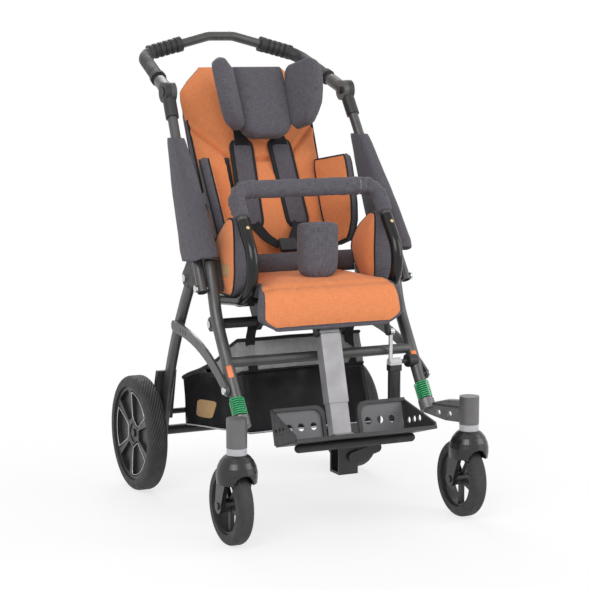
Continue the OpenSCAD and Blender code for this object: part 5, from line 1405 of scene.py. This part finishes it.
# %% [markdown]
# The flat cut of the tub is a floor panel and four walls, worked out from the corners. The height of a
# side wall is a weighted mean of its heights at the rear, in the middle and in front.

# %% Basket cut
def wall_height(share):
    """The cloth's height along the slant of the wall; share runs from the rear corner to the front one."""
    low = BASKET_LOW[0].lerp(BASKET_LOW[1], share)
    top = BASKET_TOP[0].lerp(BASKET_TOP[1], share)
    return (top - low).length * net_from(low.x)


cut_depth = (BASKET_LOW[0] - BASKET_LOW[1]).length
rear_wall, middle_wall, front_wall = wall_height(0), wall_height(0.5), wall_height(1)
side_wall = (rear_wall + 4 * middle_wall + front_wall) / 6
cut_area = (BASKET_REAR_HALF + BASKET_FRONT_HALF + 2 * side_wall) * cut_depth
cut_area += 2 * BASKET_REAR_HALF * rear_wall + 2 * BASKET_FRONT_HALF * front_wall

# %% [markdown]
# ## Small trim
# A few thin parts finish the hard solids. Thin bright cords go round the windows of the rear wheels as a
# painted highlight for the light on the chamfered window edges, and turn with them.

# %% Window lines
WINDOW_IN, WINDOW_OUT, WINDOW_CORNER = 0.034, 0.103, 0.006
WINDOW_SPREAD = math.radians(29)
WHEEL_X, HUB_FACE, FACE_SLOPE, HUB_RADIUS, LINE_LIFT = 0.292, 0.0138, 0.0052 / 0.101, 0.012, 0.0006


def window_line(turn):
    """The outline of a wheel window in the wheel's own plane, as y and z, with round corners."""
    side, tip = WINDOW_SPREAD * 1.02, WINDOW_SPREAD * 0.7
    far, near = WINDOW_OUT - WINDOW_CORNER * 2, WINDOW_IN + WINDOW_CORNER
    loop = [(WINDOW_OUT, -WINDOW_SPREAD + 2 * WINDOW_SPREAD * k / 24) for k in range(25)]
    loop += [(far, side), (near, side), (WINDOW_IN, tip), (WINDOW_IN, -tip), (near, -side), (far, -side)]
    return [(radius * math.sin(a + turn), -radius * math.cos(a + turn)) for radius, a in loop]


for side in (-1, 1):
    low, high = (Vector(v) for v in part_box("rear_rim_" + side_name(side)))
    hub = (low + high) / 2
    for k in range(3):
        path = []
        for y, z in window_line(math.radians(90 + 120 * k)):
            face = HUB_FACE + FACE_SLOPE * (math.hypot(y, z) - HUB_RADIUS)
            path.append(Vector((side * (WHEEL_X + face + LINE_LIFT), hub.y + y, hub.z + z)))
        # each cord is a painted highlight along the chamfered edge of one window
        cord_of("rim_highlight_%s_%d" % (side_name(side), k), path, 0.0010, "rear_wheel_" + side_name(side),
                "bolt_steel", painted_highlight_line, closed=True)

print("window lines made")

# %% [markdown]
# The markers are plain orange patches, bent round the front tubes.

# %% Markers
TUBE_WAY = Vector((0, 0.5505, 0.8348))
MARKER_AT = (0.238, -0.197, 0.357)


def marker_place(side):
    middle = Vector((side * MARKER_AT[0], MARKER_AT[1], MARKER_AT[2]))
    facing = Vector((-0.30, -0.95, 0))
    facing = (facing - TUBE_WAY * facing.dot(TUBE_WAY)).normalized()
    beside = TUBE_WAY.cross(facing)
    tube_low, tube_high = (Vector(v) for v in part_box("front_tube_" + side_name(side)))
    radius = (tube_high.x - tube_low.x) / 2

    def place(a, b, lift):
        out = facing * math.cos(a / radius) + beside * math.sin(a / radius)
        return middle + TUBE_WAY * b + out * (radius + 0.0003 + lift)
    return place


for side in (-1, 1):
    sewn_patch("tube_marker_" + side_name(side), marker_place(side), 0.013, 0.030, 0.0008, "frame",
               "orange_fabric", marker_orange)
print("markers made")

# %% [markdown]
# ## Springs
# Each caster spring is a coil of round wire. The ring of the wire is swept along the coil.

# %% Springs
SPRING_LEAN = math.radians(33.4)
SPRING_WAY = Vector((0, math.sin(SPRING_LEAN), math.cos(SPRING_LEAN)))
SPRING_FOOT = Vector((0.238, -0.256, 0.267))
SPRING_TURNS, SPRING_SPAN, SPRING_MEAN = 8, 0.046, 0.0166
WIRE, WIRE_GAP = 0.0017, 0.0003
COIL_STEPS = 28


def coil():
    points = []
    e1, e2 = Vector((1, 0, 0)), SPRING_WAY.cross(Vector((1, 0, 0)))
    start = WIRE + WIRE_GAP
    steps = SPRING_TURNS * COIL_STEPS
    for k in range(steps + 1):
        a = 2 * math.pi * k / COIL_STEPS
        points.append(SPRING_FOOT + SPRING_WAY * (start + (SPRING_SPAN - 2 * start) * k / steps)
                      + (e1 * math.cos(a) + e2 * math.sin(a)) * SPRING_MEAN)
    return points


spring = cord_of("spring_left", coil(), WIRE, "caster_arm_left", "spring_green", spring_green)
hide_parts("suspension_spring_left")
twin = mirrored(spring, "spring_right", "caster_arm_right")
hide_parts("suspension_spring_right")
for obj, joint, x in ((spring, "suspension_left", 1), (twin, "suspension_right", -1)):
    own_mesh(obj)
print("springs made")
